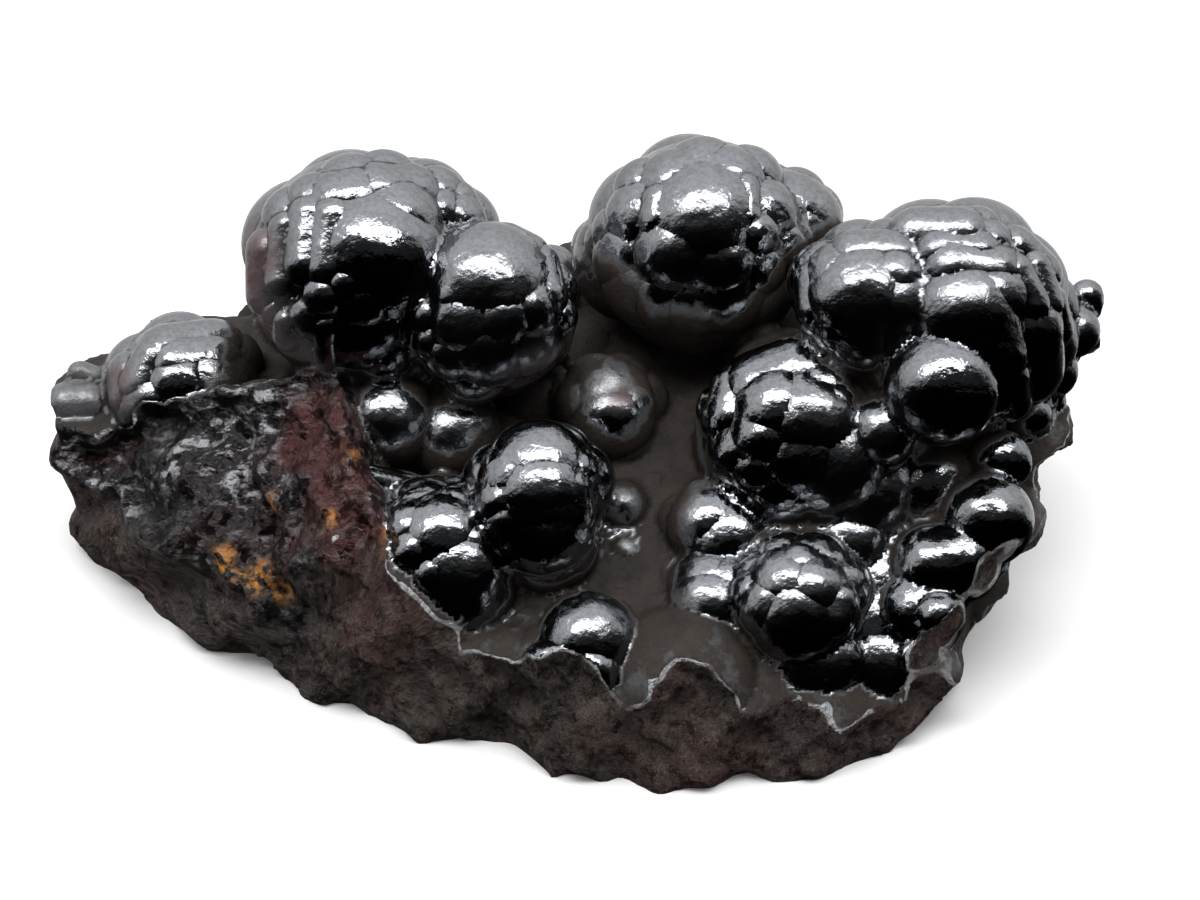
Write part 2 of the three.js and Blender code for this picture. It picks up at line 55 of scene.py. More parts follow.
# %% [markdown]
# ## The camera
#
# A stone has no front, so the view decides what is seen first. The camera stands in front
# of the long side and looks down at 40 degrees, close enough that near lumps look a little
# larger than far ones. All the sizes below are in millimetres, in the frame in which the
# stone was drawn; MIDDLE is where the middle of its box lies in that frame, and everything
# moves by it at the end.

# %% Place the camera
MM = 0.001
MIDDLE = Vector((-0.68, 2.84, 0.0))
LOOK_AT = Vector((3.5, 0.0, 25.0))
CAMERA_HEIGHT_ANGLE = math.radians(40)
CAMERA_DISTANCE = 333.3
LENS = 70.0


def metres(point):
    """A point of the drawing, in millimetres, as a place in the scene."""
    return (Vector(point) - MIDDLE) * MM


camera = bpy.data.objects.new("camera", bpy.data.cameras.new("camera"))
scene.collection.objects.link(camera)
away = Vector((0, -math.cos(CAMERA_HEIGHT_ANGLE), math.sin(CAMERA_HEIGHT_ANGLE)))
camera.location = metres(LOOK_AT + away * CAMERA_DISTANCE)
camera.rotation_euler = (math.pi / 2 - CAMERA_HEIGHT_ANGLE, 0, 0)
camera.data.lens = LENS
camera.data.clip_start = 0.01
scene.camera = camera
print("camera at", [round(c, 4) for c in camera.location])

# %% [markdown]
# ## The domes
#
# A dome could be sculpted, but its form has a rule: the skin of every dome swells into
# smaller lumps, and each lump is part of a ball. So a dome is written down as a centre, a
# radius and a list of lumps, each with a bearing (0 is the front, 90 the right), a height
# in degrees, a radius, and sometimes how far it stands out past the others. A ridge is a
# lump drawn out between two such places. The back of each dome, which has no marks of its
# own, is filled with lumps spread like the seeds of a sunflower.

# %% The domes, one by one
DOMES = {
    "back left": {
        "at": (-30.5, 18.5, 43),
        "radius": 18.3,
        "lumps": [
            (20, 45, 9, 0.6), (55, 60, 6), (95, 40, 4), (95, 30, 3.5, 1.5), (110, 42, 3.5, 1),
            (103, 35, 2.5, 1.5), (-135, 85, 4), (130, 70, 4), (140, 35, 4), (-70, 65, 3.5),
            (-75, 50, 3.5), (-2, 30, 2.5), (5, 20, 3.5), (3, 0, 5.5), (-44, 5, 2), (-22, 10, 2.5),
            (-15, 23, 2.5), (15, -15, 3.5), (122, 36, 5, 1), (107, 18, 5, 2.3),
        ],
        "ridges": [
            ((-40, 74), (-5, 80), 4), ((70, 77), (100, 60), 4), ((-22, 62), (-15, 36), 2.5),
            ((-48, 58), (-30, 35), 2.5), ((-57, 46), (-42, 23), 2),
            ((-63, 30), (-52, 10), 2.5, 0.4), ((-35, 4), (-36, -5), 1.5),
            ((-13, 8), (-14, -10), 1.5),
        ],
    },
    "left of the middle": {
        "at": (-12.5, 11, 41),
        "radius": 13.5,
        "lumps": [
            (8, 75, 8.5, 1), (45, 32, 4), (-60, 53, 2.5), (-30, 48, 3), (-18, 30, 5), (16, 32, 4),
            (3, 6, 5.5), (38, 7, 4.5), (-52, 22, 3), (-42, 8, 2.5), (-26, 0, 3.5), (-10, -25, 3.5),
            (90, 26, 2.5),
        ],
        "ridges": [
            ((135, 68), (108, 55), 2.5), ((97, 48), (67, 32), 2.5), ((-10, 51), (25, 48), 3),
            ((70, 13), (95, -37), 2),
        ],
    },
    "back middle": {
        "at": (18.5, 26, 42),
        "radius": 17.3,
        "lumps": [
            (-2, 55, 8, 0.8), (-160, 87, 4.5), (100, 60, 4), (-66, 39, 5), (-60, 12, 5.5),
            (-46, -2, 5.5), (-21, 29, 5.5, 0.3), (11, 25, 5), (35, 37, 3.5), (60, 42, 5),
            (125, 20, 4), (57, 23, 3), (32, 17, 3.5), (-25, 0, 4.5), (-9, 0, 4.5), (16, 5, 5.5),
            (35, -2, 3), (-74, 22, 3), (-81, 10, 2.5), (-90, 50, 3.5),
        ],
        "ridges": [
            ((-68, 69), (68, 74), 5), ((-47, 54), (-40, 44), 2), ((82, 30), (70, 20), 2),
            ((127, -10), (120, -19), 2.5), ((48, 62), (32, 47), 1.5),
        ],
    },
    "back middle, left foot": {
        "at": (8, 31, 36), "radius": 9, "lumps": [(-65, 75, 7.5), (-35, 25, 7.5), (-10, -15, 7.5)],
    },
    "back middle, right foot": {
        "at": (30, 28, 43.5),
        "radius": 9.5,
        "lumps": [
            (-25, 65, 7.5), (45, 65, 6.5), (60, 40, 6.5), (0, 30, 4.5), (30, 35, 4.5), (-5, 5, 6),
        ],
    },
    "back right": {
        "at": (52.5, 9.3, 40.9),
        "radius": 18,
        "lumps": [(-83, 63, 2.5), (29, 48, 4), (16, -4, 3.5), (72, 73, 2.5), (117, 77, 2.5)],
        "ridges": [
            ((-97, 69), (20, 87), 3, 0.8), ((-40, 73), (32, 73), 2.5), ((-12, 67), (40, 60), 3),
            ((5, 42), (11, 15), 6, 0.6), ((51, 21), (54, -10), 4), ((52, 54), (49, 36), 2),
            ((73, 47), (62, 30), 2), ((87, 58), (82, 39), 2.5), ((26, 4), (32, -16), 2),
            ((66, 28), (65, 13), 2),
        ],
    },
    "right": {
        "at": (41.3, 7.4, 45.6),
        "radius": 12,
        "lumps": [
            (-70, 48, 4), (-27, 38, 7.5, 0.3), (33, 57, 3.5), (26, 29, 6), (59, 30, 2.5),
            (87, 47, 3), (-13, 5, 5), (17, 5, 4.5), (-35, 8, 3),
        ],
        "ridges": [((-80, 70), (78, 71), 3), ((-80, 29), (-58, 12), 2.5)],
    },
    "middle": {
        "at": (32, 1, 26),
        "radius": 16.5,
        "lumps": [
            (-36, 55, 5, 0.4), (5, 54, 6.5, 0.4), (-34, 35, 4.5), (-48, 18, 4.5), (0, 26, 6),
            (25, 15, 8, 0.5), (33, 71, 3), (-17, 3, 5), (-32, 16, 3.5), (-84, 30, 2.5),
            (42, 86, 3.5), (29, 59, 2.5), (52, 11, 3.5),
        ],
        "ridges": [((-85, 58), (-115, 85), 4.5), ((-92, 47), (-71, 32), 3.5)],
    },
    "front right": {
        "at": (30.5, -24, 17),
        "radius": 10.5,
        "lumps": [
            (-51, 66, 4.5), (30, 62, 4.5), (-48, 34, 4), (-9, 31, 6), (-73, 32, 2.5),
            (-31, 88, 2.5),
        ],
        "ridges": [((48, 38), (37, 28), 2.5)],
    },
    "front rim": {
        "at": (33, -27.5, 9.7),
        "radius": 8,
        "lumps": [(52, 40, 2.5)],
        "ridges": [((-45, 40), (23, 47), 5)],
    },
    "front left of the middle": {
        "at": (-5, -12, 26),
        "radius": 11,
        "lumps": [
            (125, 86, 6.5, 0.8), (-57, 58, 4.5), (10, 54, 6, 0.4), (8, 31, 6.5), (9, -3, 6, 0.8),
            (-45, 30, 3), (-27, 16, 3), (77, 50, 2.5), (-13, -17, 3), (31, -7, 3),
        ],
        "ridges": [((45, 44), (36, 21), 2.5)],
    },
    "valley, upper": {
        "at": (20.5, -11, 17),
        "radius": 9.5,
        "lumps": [(-60, 65, 5, 0.5), (18, 49, 5.5, 0.3), (-10, 40, 4)],
    },
    "valley, lower": {
        "at": (20.5, -21, 13),
        "radius": 9,
        "lumps": [(-117, 60, 5, 0.5), (87, 84, 3.5), (-47, 49, 5, 0.4), (-36, 26, 4)],
    },
    "dusty middle": {
        "at": (4.5, 8, 25),
        "radius": 9,
        "lumps": [
            (-8, 77, 6.5), (8, 30, 5.5, 0.5), (23, -24, 4), (-64, 45, 3.5), (44, 44, 3.5),
            (-15, 0, 3),
        ],
    },
    "front left": {
        "at": (-18.5, -15.5, 18),
        "radius": 12,
        "lumps": [
            (-64, 60, 4.5), (10, 69, 6, 0.3), (-30, 46, 3), (44, 48, 3), (109, 76, 2.5),
            (51, 30, 3), (22, -26, 3),
        ],
        "ridges": [((28, 25), (33, -4), 6, 0.8), ((-3, 30), (10, 13), 2.5)],
    },
    "far left": {
        "at": (-57.8, 15.5, 22.3),
        "radius": 13,
        "lumps": [(6, 50, 4.5), (49, 40, 6.5), (-29, 26, 5.5), (107, 36, 3.5), (11, 28, 5)],
        "ridges": [
            ((-57, 76), (111, 56), 4), ((0, 67), (69, 56), 3.5), ((-48, 66), (-42, 40), 3),
            ((-70, 39), (-49, 27), 2.5),
        ],
    },
    # hidden from the front: these make the back as rich as the rest
    "behind, far left": {"at": (-60, 28, 17), "radius": 8},
    "behind, left": {"at": (-36, 31, 26), "radius": 14},
    "behind, middle": {"at": (-6, 37, 24.5), "radius": 8.5},
    "behind, right": {"at": (23, 38, 27), "radius": 13},
    "behind, far right": {"at": (54, 25, 29), "radius": 14},
}
DOME_INSET = 1.5  # a dome's own ball lies this far inside its lumps
FLATNESS = 0.6  # 1 gives lumps like separate balls, 0 gives one smooth ball
LUMP_RISE = 0.4  # a lump's crown stands this far past the dome's radius
FILL_COUNT = 26
FILL_SIZE = 0.4  # of the dome's radius
FILL_CLEAR = math.radians(30)  # a filling lump keeps this far from the given ones
FILL_LOWEST = -0.3  # the lowest filling lumps, as the sine of their height on the dome
FILL_FRONT = -0.15  # only the back is filled, from this far in front of the dome's middle
GOLDEN_ANGLE = math.radians(137.508)


def direction(bearing, height):
    """A direction from its bearing and its height, both in degrees."""
    a, h = math.radians(bearing), math.radians(height)
    return Vector((math.sin(a) * math.cos(h), -math.cos(a) * math.cos(h), math.sin(h)))


def seed_direction(i, rise):
    """Direction number i of a set spread like sunflower seeds; rise is the sine of its height."""
    ring = math.sqrt(max(0, 1 - rise * rise))
    return Vector((ring * math.cos(GOLDEN_ANGLE * i), ring * math.sin(GOLDEN_ANGLE * i), rise))


def flatter(size, radius):
    """Radius of the ball that makes a flat lump on a dome, without moving its creases."""
    return radius / (1 + FLATNESS * (radius / size - 1))


def dome_balls(at, radius, lumps=(), ridges=()):
    """All the balls of one dome, each as (start, end, radius)."""
    at = Vector(at)
    found = [(at, at, radius - DOME_INSET)]
    taken = []
    for start, end, r, *out in [((b, h), (b, h), *rest) for b, h, *rest in lumps] + list(ridges):
        ways = [direction(*start), direction(*end)]
        r = flatter(r, radius)
        reach = radius + LUMP_RISE + (out or [0])[0] - r
        found.append((at + ways[0] * reach, at + ways[1] * reach, r))
        taken += ways
    for i in range(FILL_COUNT):
        rise = 1 - 2 * (i + 0.5) / FILL_COUNT
        way = seed_direction(i, rise)
        clear = all(way.angle(other) > FILL_CLEAR for other in taken)
        if rise > FILL_LOWEST and way.y > FILL_FRONT and clear:
            r = flatter(FILL_SIZE * radius, radius)
            centre = at + way * (radius + LUMP_RISE - r)
            found.append((centre, centre, r))
    return found


balls = [ball for dome in DOMES.values() for ball in dome_balls(**dome)]
print(len(DOMES), "domes,", len(balls), "balls")

# %% [markdown]
# ## Single lumps and the ground
#
# Between the domes stand lumps that belong to none of them, and below lies the ground of
# the stone: wide, low lumps. At the front the ground reaches the broken rim, where each
# wide lump will show as an arc. Behind the domes it is filled by a loop, like the domes.

# %% Single lumps
SINGLE_LUMPS = [
    # between the front domes
    (42, -26, 8.5, 7), (38.5, -12.5, 18.5, 7), (44.5, -1, 27, 8), (40, -6, 22, 10),
    (2, -28.5, 14.5, 7.2), (6.5, -7, 20, 4), (-3.5, -16, 21.3, 6.8), (7, -13, 16.5, 3),
    (4, -15, 13.5, 4),
    # wide saddles under the front right domes
    (33, -14, 10, 12), (41, -19, 7, 12), (43.5, -14, 10, 11.5), (49, -5, 22, 8.5),
    # the string of lumps down the right-hand edge
    (50, -6.5, 41.5, 8), (42.5, -7.5, 34.5, 5), (53, -2.5, 25, 4), (59.5, -6, 28, 4.5),
    (57, -14.5, 24.5, 6.5), (49.5, -26.5, 17.5, 4), (47.5, -23, 15, 6.5),
    # right-hand flank
    (66, 14.5, 39, 6.5), (65.5, 9, 38, 6), (71.5, 13, 36.5, 4), (68, 8, 33, 4),
    (67, 8, 27.5, 4), (64.5, 3, 29, 3.5), (66.5, 3.5, 26, 3),
    # left of the middle
    (-17.5, 2.5, 25.5, 7), (-5.5, 14, 23, 7.5), (-26.5, 2, 29, 7),
    # saddles that fuse the back domes
    (-19, 22.5, 12, 15.5), (-2.5, 20.5, 10, 14.5),
]
SINGLE_RIDGES = [
    # between the front domes
    ((27.5, -34, 8), (32.5, -34, 7.5), 2.5), ((-3, -33.5, 14), (2, -33.5, 14), 4.6),
    ((49.5, -19, 20), (53, -18.5, 20.5), 6), ((-30, -10, 28), (-23.5, -8, 24.5), 2.5),
    # end of the string, right-hand tip, far left tip
    ((46, -29.5, 13), (48, -29.5, 14), 2.5), ((74, 18, 39), (74.5, 15, 33.5), 2.5),
    ((-74.5, 11.5, 24), (-71.5, 11.5, 24), 3.5), ((-73, 15, 27), (-71, 15, 26), 2),
]
GROUND_LUMPS = [
    (-33, -20, 3, 23.6), (-10, -29, 3, 13), (-1, -31, 5, 12.5), (14.7, -31, 8, 11.7),
    (25, -31, 1, 12), (32, -30, 0, 12.8), (-12, -16, 2, 15), (3, -20, 1, 14.5),
    (47, -27, 6, 7), (0, -8, -1, 16), (9, 3, 1, 16), (13, 15, 4, 16), (-14, 4, 3, 16),
    (-7, 15, 4, 16), (10, -20, 0, 14), (26, -16, 2, 14), (38, -18, 4, 12), (22, 0, 6, 14),
    (18, -21, 4, 12), (21, -12, 4, 13),
]
FLOOR_COUNT = 90
FLOOR_SPACING = 9.2
FLOOR_DEPTH = 0.62  # of its length
FLOOR_MIDDLE = 2  # how far back its middle lies
FLOOR_TOP = 20.4  # height of the lumps in the middle
FLOOR_RISE = 0.17  # for each mm towards the back
FLOOR_BOWL = 0.0015  # rise towards both ends
LEFT_END_DROP = 7
FLOOR_LUMP = 12


def floor_lumps():
    """Low lumps behind and between the domes, a little uneven in height and size."""
    found = []
    for i in range(1, FLOOR_COUNT):
        out = FLOOR_SPACING * math.sqrt(i)
        x = out * math.cos(GOLDEN_ANGLE * i)
        y = FLOOR_DEPTH * out * math.sin(GOLDEN_ANGLE * i) + FLOOR_MIDDLE
        # the front has its own lumps, written down above, and the root ends at the sides
        at_front = y < -18 or (x < -24 and y < 8) or (-24 < x < 26 and y < 14)
        if at_front or x < -62 or x > 72 or y > 46:
            continue
        drop = LEFT_END_DROP if x < -42 and y > 12 else 0
        top = FLOOR_TOP + FLOOR_RISE * y + FLOOR_BOWL * x * x + 2 * math.sin(2.4 * i) - drop
        r = FLOOR_LUMP + 1.5 * math.sin(1.7 * i)
        found.append((x, y, top - r, r))
    return found


balls += [(Vector(start), Vector(end), r) for start, end, r in SINGLE_RIDGES]
balls += [(Vector((x, y, z)), Vector((x, y, z)), r) for x, y, z, r in SINGLE_LUMPS]
first_ground = len(balls)
balls += [(Vector((x, y, z)), Vector((x, y, z)), r) for x, y, z, r in GROUND_LUMPS + floor_lumps()]
print(len(balls), "balls in all")

# %% [markdown]
# ## The root
#
# The domes stand on a root that is mostly hidden. Plain blocks are enough for it: each is
# the hull around a few corners, which bmesh.ops.convex_hull makes from loose points.

# %% Corners of the blocks
REST_OUTLINE = [
    (-75, 6), (-69, 0.5), (-62, -7), (-54.5, -13.8), (-39, -24), (-24.5, -31), (3.5, -41.8),
    (17, -42.3), (31, -40.2), (38, -38.8), (45.5, -34.5), (50, -28), (52.5, -21), (56, -8),
    (60, 10), (56, 30), (35, 42), (-5, 44), (-45, 36), (-68, 24),
]
GROUND_TOP = [
    (-77.5, 5, 23), (-66, 1, 21), (-39, -19, 17), (-20, -34, 12), (3, -43, 10), (18, -44, 11),
    (25, -43, 9), (31, -42, 6), (39, -41, 6), (47, -36, 6), (51.5, -21.5, 11), (55, -12, 16),
    (60, 0, 22), (69, 14, 28), (70, 26, 28), (60, 38, 26), (20, 47, 24), (-30, 43, 22),
    (-62, 32, 22), (-76, 18, 22),
]
LEFT_SHOULDER = [
    (-73, 2, 0), (-66.5, 1.5, 23), (-65, -6, 22.4), (-57, -18, 0), (-53, -17, 16),
    (-48, -20, 16), (-41, -28, 0), (-30, -30, 10), (-60, 3, 30.5), (-47, 3, 35),
    (-34, 1, 38.5), (-33, 8, 34), (-50, 10, 28), (-66, 6, 24), (-20, 10, 0),
]
FRONT_SHOULDER = [
    (-41, -26, 10), (-38.5, -24, 22), (-25.8, -26, 26.8), (-27.3, -17.2, 30.5), (-30, -12.4, 32.3),
    (-31.5, -7, 35), (-33.5, 0.5, 38.6), (-45, 2, 34), (-30, 6, 30), (-22, -8, 14),
    (-23, -29, 8), (-23, -20, 18),
]
RIGHT_FLANK = [
    (48.5, -20, 0), (54.5, -12, 20), (63, -2, 26), (72, 8, 34), (76, 24, 34), (62, 40, 28),
    (40, 38, 24), (45, -5, 20), (60, 10, 0), (56, 30, 0), (30, 10, 0), (30, 40, 0),
]
LEFT_END = [
    (-79, 4, 0), (-79, 5, 24), (-67, -3, 21), (-79, 19, 24), (-66, 35, 24), (-40, 30, 26),
    (-45, 5, 26), (-72, 27, 0), (-40, 30, 0), (-50, -5, 0),
]
ROOT_REACH = 1.05  # the root starts out larger than what is left after the break
root_foot = [(x * ROOT_REACH, y * ROOT_REACH, 0) for x, y in REST_OUTLINE]
root_blocks = [root_foot + GROUND_TOP, LEFT_SHOULDER, FRONT_SHOULDER, RIGHT_FLANK, LEFT_END]

# %% [markdown]
# ## Melt balls and blocks together
#
# Joining hundreds of overlapping balls with booleans is slow and leaves slivers. A voxel
# remesh does it in one go: it fills the space inside all the closed shapes with small
# cubes and draws one even skin of squares around them.

# %% Balls and blocks in one mesh
BALL_CUTS = 3


def add_block(bm, corners):
    """The hull around some corners; corners that end up inside it are taken away."""
    made = bmesh.ops.convex_hull(bm, input=[bm.verts.new(c) for c in corners])
    left_over = made["geom_interior"] + made["geom_unused"]
    inside = {v for v in left_over if isinstance(v, bmesh.types.BMVert)}
    bmesh.ops.delete(bm, geom=list(inside), context="VERTS")


def object_of(name, bm):
    """Puts a bmesh into a new object of the scene."""
    mesh = bpy.data.meshes.new(name)
    bmesh.ops.recalc_face_normals(bm, faces=bm.faces)
    bm.to_mesh(mesh)
    bm.free()
    made = bpy.data.objects.new(name, mesh)
    scene.collection.objects.link(made)
    return made


def apply_modifiers(obj):
    """Replaces an object's mesh by what its modifiers make of it."""
    depsgraph = bpy.context.evaluated_depsgraph_get()
    old = obj.data
    obj.data = bpy.data.meshes.new_from_object(obj.evaluated_get(depsgraph))
    obj.modifiers.clear()
    bpy.data.meshes.remove(old)
    print(obj.name, "has", len(obj.data.polygons), "faces")


def add_ball(bm, start, end, radius):
    """A ball; the half that faces its end moves there, which draws it out into a ridge."""
    place = Matrix.Translation(start)
    made = bmesh.ops.create_icosphere(bm, subdivisions=BALL_CUTS, radius=radius, matrix=place)
    for v in made["verts"]:
        if (v.co - start).dot(end - start) > 0:
            v.co += end - start


bm = bmesh.new()
for ball in balls:
    add_ball(bm, *ball)
for corners in root_blocks:
    add_block(bm, corners)
stone = object_of("hematite_stone", bm)

# %% Remesh them
FIRST_VOXEL = 0.8
remesh = stone.modifiers.new("melt together", "REMESH")
remesh.mode = "VOXEL"
remesh.voxel_size = FIRST_VOXEL
apply_modifiers(stone)

# %% [markdown]
# ## Break the sides off
#
# The stone lay in a vein until it was broken out. So the molten shape is cut with tools
# that have rough faces. One holds all the sides. Two take wedges off the front left, where
# the large sparkling break lies, and a third cuts a notch at the foot of the front. A tool
# starts as a hull with flat faces; remeshed into small squares it can be shaken by a few
# waves, and then it cuts like a real break.

# %% The faces of the break
SIDE_POINTS = [
    (-77.2, 7, 27), (-67, 1.5, 24), (62, -19, 22), (69.5, -5, 30), (76.5, 9, 38), (79, 24, 42),
    (64, 42, 40), (20, 50, 40), (-30, 44, 36), (-64, 34, 28), (-76.5, 20, 26),
]
SIDES_TOP = 80
TOP_OUTLINE = [
    (-79, 10), (-66, 5), (-24.5, -10), (17, -18), (45, -18.5), (60, -13), (75, 0), (80, 10),
    (81, 25), (66, 43), (20, 51), (-31, 45), (-65, 35), (-78, 20),
]
BREAKS = [
    [
        ((-50, -13.5, 16), (-0.245, -0.731, 0.635)),
        ((-41, -18, 22), (-0.95, -0.1, -0.3)),
        ((-62, 2, 30), (0.5, -0.6, -0.6)),
    ],
    [
        ((-38.5, -18.9, 22), (-0.447, -0.496, 0.744)),
        ((-27.5, -22, 26), (-0.95, -0.3, -0.1)),
        ((-40, 2, 36), (0, -1, -0.3)),
    ],
    [
        ((-12, -33.3, 3), (-0.1, -0.97, 0.23)),
        ((-5.5, -36.5, 3), (-0.75, -0.65, 0.15)),
    ],
]
SPARKLING = 2  # the first breaks are the two large facets, the last is a notch at the foot
BREAK_REACH = 45
BREAK_ROUGHNESS = 1.1
FULL_WAVES = 6  # height in mm above which the waves also go up and down in full
TOOL_VOXEL = 1.6


def shaken(co):
    """Slow and fast waves that make a break wander; nothing leaves the plane z = 0."""
    x, y, z = co.T
    lift = np.clip(z / FULL_WAVES, 0, 1)
    push = np.stack([
        np.sin(0.31 * y + 0.47 * z + 1) + 0.6 * np.sin(0.93 * z - 0.71 * y),
        np.sin(0.37 * x - 0.29 * z) + 0.6 * np.sin(0.81 * x + 0.67 * z + 2),
        lift * (np.sin(0.41 * x + 0.23 * y) + 0.6 * np.sin(0.77 * y - 0.9 * x)),
    ], axis=1)
    return co + BREAK_ROUGHNESS * push


def read_vectors(items, name):
    """One vector for each point or face of a mesh, as rows."""
    values = np.empty(len(items) * 3, dtype=np.float32)
    items.foreach_get(name, values)
    return values.reshape(-1, 3).astype(float)


def read_counts(items, name):
    """One whole number for each face or corner of a mesh."""
    values = np.empty(len(items), dtype=np.int32)
    items.foreach_get(name, values)
    return values


def get_points(mesh):
    return read_vectors(mesh.vertices, "co")


def get_normals(mesh):
    return read_vectors(mesh.vertices, "normal")


def set_points(mesh, co):
    mesh.vertices.foreach_set("co", co.astype(np.float32).ravel())
    mesh.update()


def rough_tool(name, corners):
    """A cutting tool: the hull of the corners, with rough faces."""
    bm = bmesh.new()
    add_block(bm, corners)
    tool = object_of(name, bm)
    remesh = tool.modifiers.new("small squares", "REMESH")
    remesh.mode = "VOXEL"
    remesh.voxel_size = TOOL_VOXEL
    apply_modifiers(tool)
    set_points(tool.data, shaken(get_points(tool.data)))
    return tool


def wedge_corners(faces):
    """Corners of the space beyond all the faces, cut from a cube plane by plane."""
    bm = bmesh.new()
    bmesh.ops.create_cube(bm, size=2 * BREAK_REACH, matrix=Matrix.Translation(faces[0][0]))
    for point, out in faces:
        everything = bm.verts[:] + bm.edges[:] + bm.faces[:]
        cut = bmesh.ops.bisect_plane(
            bm, geom=everything, plane_co=point, plane_no=Vector(out).normalized(), clear_inner=True
        )
        rim = [e for e in cut["geom_cut"] if isinstance(e, bmesh.types.BMEdge)]
        bmesh.ops.holes_fill(bm, edges=rim)
    corners = [v.co.copy() for v in bm.verts]
    bm.free()
    return corners


rest_face = [(x, y, 0) for x, y in REST_OUTLINE]
sides_top = [(x, y, SIDES_TOP) for x, y in TOP_OUTLINE]
sides_tool = rough_tool("sides", rest_face + SIDE_POINTS + sides_top)
wedge_tools = [rough_tool(f"wedge {i}", wedge_corners(faces)) for i, faces in enumerate(BREAKS)]

# %% Cut, then remesh once more
VOXEL = 0.78
for tool, kind in [(sides_tool, "INTERSECT")] + [(tool, "DIFFERENCE") for tool in wedge_tools]:
    cut = stone.modifiers.new(tool.name, "BOOLEAN")
    cut.object = tool
    cut.operation = kind
    cut.solver = "MANIFOLD"
remesh = stone.modifiers.new("even skin", "REMESH")
remesh.mode = "VOXEL"
remesh.voxel_size = VOXEL
apply_modifiers(stone)

# %% [markdown]
# ## A flat face to rest on
#
# The remesh leaves the underside in small squares that nobody sees. The underside is cut
# off just above and closed with one flat face, which also gives the stone its sharp edge
# at the table.

# %% Close the underside with one face
REST_CUT = 0.4
TINY = 0.001
bm = bmesh.new()
bm.from_mesh(stone.data)
cut = bmesh.ops.bisect_plane(
    bm,
    geom=bm.verts[:] + bm.edges[:] + bm.faces[:],
    plane_co=(0, 0, REST_CUT),
    plane_no=(0, 0, 1),
    clear_inner=True,
)
rim = [e for e in cut["geom_cut"] if isinstance(e, bmesh.types.BMEdge)]
closed = bmesh.ops.holes_fill(bm, edges=rim)["faces"]
print(len(closed), "face closes the underside, with", len(rim), "edges")
for v in bm.verts:
    if v.co.z < REST_CUT + TINY:
        v.co.z = 0
for face in bm.faces:
    face.smooth = True
for face in closed:
    face.smooth = False
bm.to_mesh(stone.data)
bm.free()

# %% [markdown]
# ## Measure every point of the skin
#
# The little squares of the remesh blur the creases. But we still know every ball exactly,
# so each point of the skin can be moved onto the ball it belongs to, and the creases come
# out sharp. The same distances tell the skin from the break: a point of the break lies on
# a tool and below the skin, or on a block that no ball covers.

# %% Distances to the balls
FAR = 1e3  # farther than any real distance, in mm
ball_start = np.array([tuple(start) for start, _, _ in balls])
ball_line = np.array([tuple(end - start) for start, end, _ in balls])
ball_radius = np.array([radius for _, _, radius in balls])


def core_of(co, i):
    """The place inside ball i, one ball or one for each point, that lies nearest to each point."""
    start, line = ball_start[i], ball_line[i]
    t = np.sum((co - start) * line, axis=-1) / np.maximum(np.sum(line * line, axis=-1), 1e-9)
    return start + np.clip(t, 0, 1)[:, None] * line


def out_of_ball(co, i):
    """Distance out of ball i, and the direction straight out of it."""
    ray = co - core_of(co, i)
    length = np.linalg.norm(ray, axis=1)
    return length - ball_radius[i], ray / length[:, None]


def two_nearest(co):
    """Which two balls each point is nearest to, and its distance out of each."""
    which = np.zeros((2, len(co)), dtype=int)
    gap = np.full((2, len(co)), FAR)
    for i in range(len(balls)):
        d = np.linalg.norm(co - core_of(co, i), axis=1) - ball_radius[i]
        first = d < gap[0]
        then = ~first & (d < gap[1])
        which[1, first], gap[1, first] = which[0, first], gap[0, first]
        which[0, first], gap[0, first] = i, d[first]
        which[1, then], gap[1, then] = i, d[then]
    return which, gap


def smooth_step(low, high, value):
    t = np.clip((value - low) / (high - low), 0, 1)
    return t * t * (3 - 2 * t)


def above_blocks(co, blocks):
    """Distance out of some blocks, less than nothing inside them."""
    found = np.full(len(co), FAR)
    for corners in blocks:
        bm = bmesh.new()
        add_block(bm, corners)
        bm.normal_update()
        middle = sum((v.co for v in bm.verts), Vector()) / len(bm.verts)
        farthest = np.full(len(co), -FAR)
        for face in bm.faces:
            point, out = np.array(face.verts[0].co), np.array(face.normal)
            if np.dot(out, point - np.array(middle)) < 0:
                out = -out
            farthest = np.maximum(farthest, (co - point) @ out)
        bm.free()
        found = np.minimum(found, farthest)
    return found


def search_tree(mesh):
    return BVHTree.FromPolygons([v.co for v in mesh.vertices], [p.vertices for p in mesh.polygons])


def tool_distances(co):
    """Distance to the nearest face of each cutting tool."""
    trees = [search_tree(tool.data) for tool in [sides_tool, *wedge_tools]]
    return np.array([[tree.find_nearest(p)[3] for p in co] for tree in trees])


# each pair says at which measure a mask begins and at which it is full, in mm
ON_TOOL = (1.0, 0.5)
IN_ROOT = (-0.3, -0.8)
OFF_BALLS = (0.5, 1.0)
ON_SHOULDER = (1.2, 0.6)
STEEP = (0.6, 0.4)  # the upward part of the normal
EDGE = 1.2  # width over which the mask of the break rises; the shader cuts it off in the middle
SHOULDER_DEPTH = 3  # the shoulders have no skin, so all of their relief is deep
co = get_points(stone.data)
which, gap = two_nearest(co)
tool_gaps = tool_distances(co)
tool_gap = tool_gaps.min(axis=0)
root_gap = above_blocks(co, root_blocks)
shoulder_gap = above_blocks(co, [LEFT_SHOULDER, FRONT_SHOULDER])
on_tool = smooth_step(*ON_TOOL, tool_gap)
in_root = smooth_step(*IN_ROOT, root_gap)
on_block = smooth_step(*OFF_BALLS, gap[0])
steep = smooth_step(*STEEP, get_normals(stone.data)[:, 2])
off_skin = np.clip(0.5 + (np.abs(gap[0]) - tool_gap) / EDGE, 0, 1)
broken = on_tool * np.maximum(in_root, off_skin)
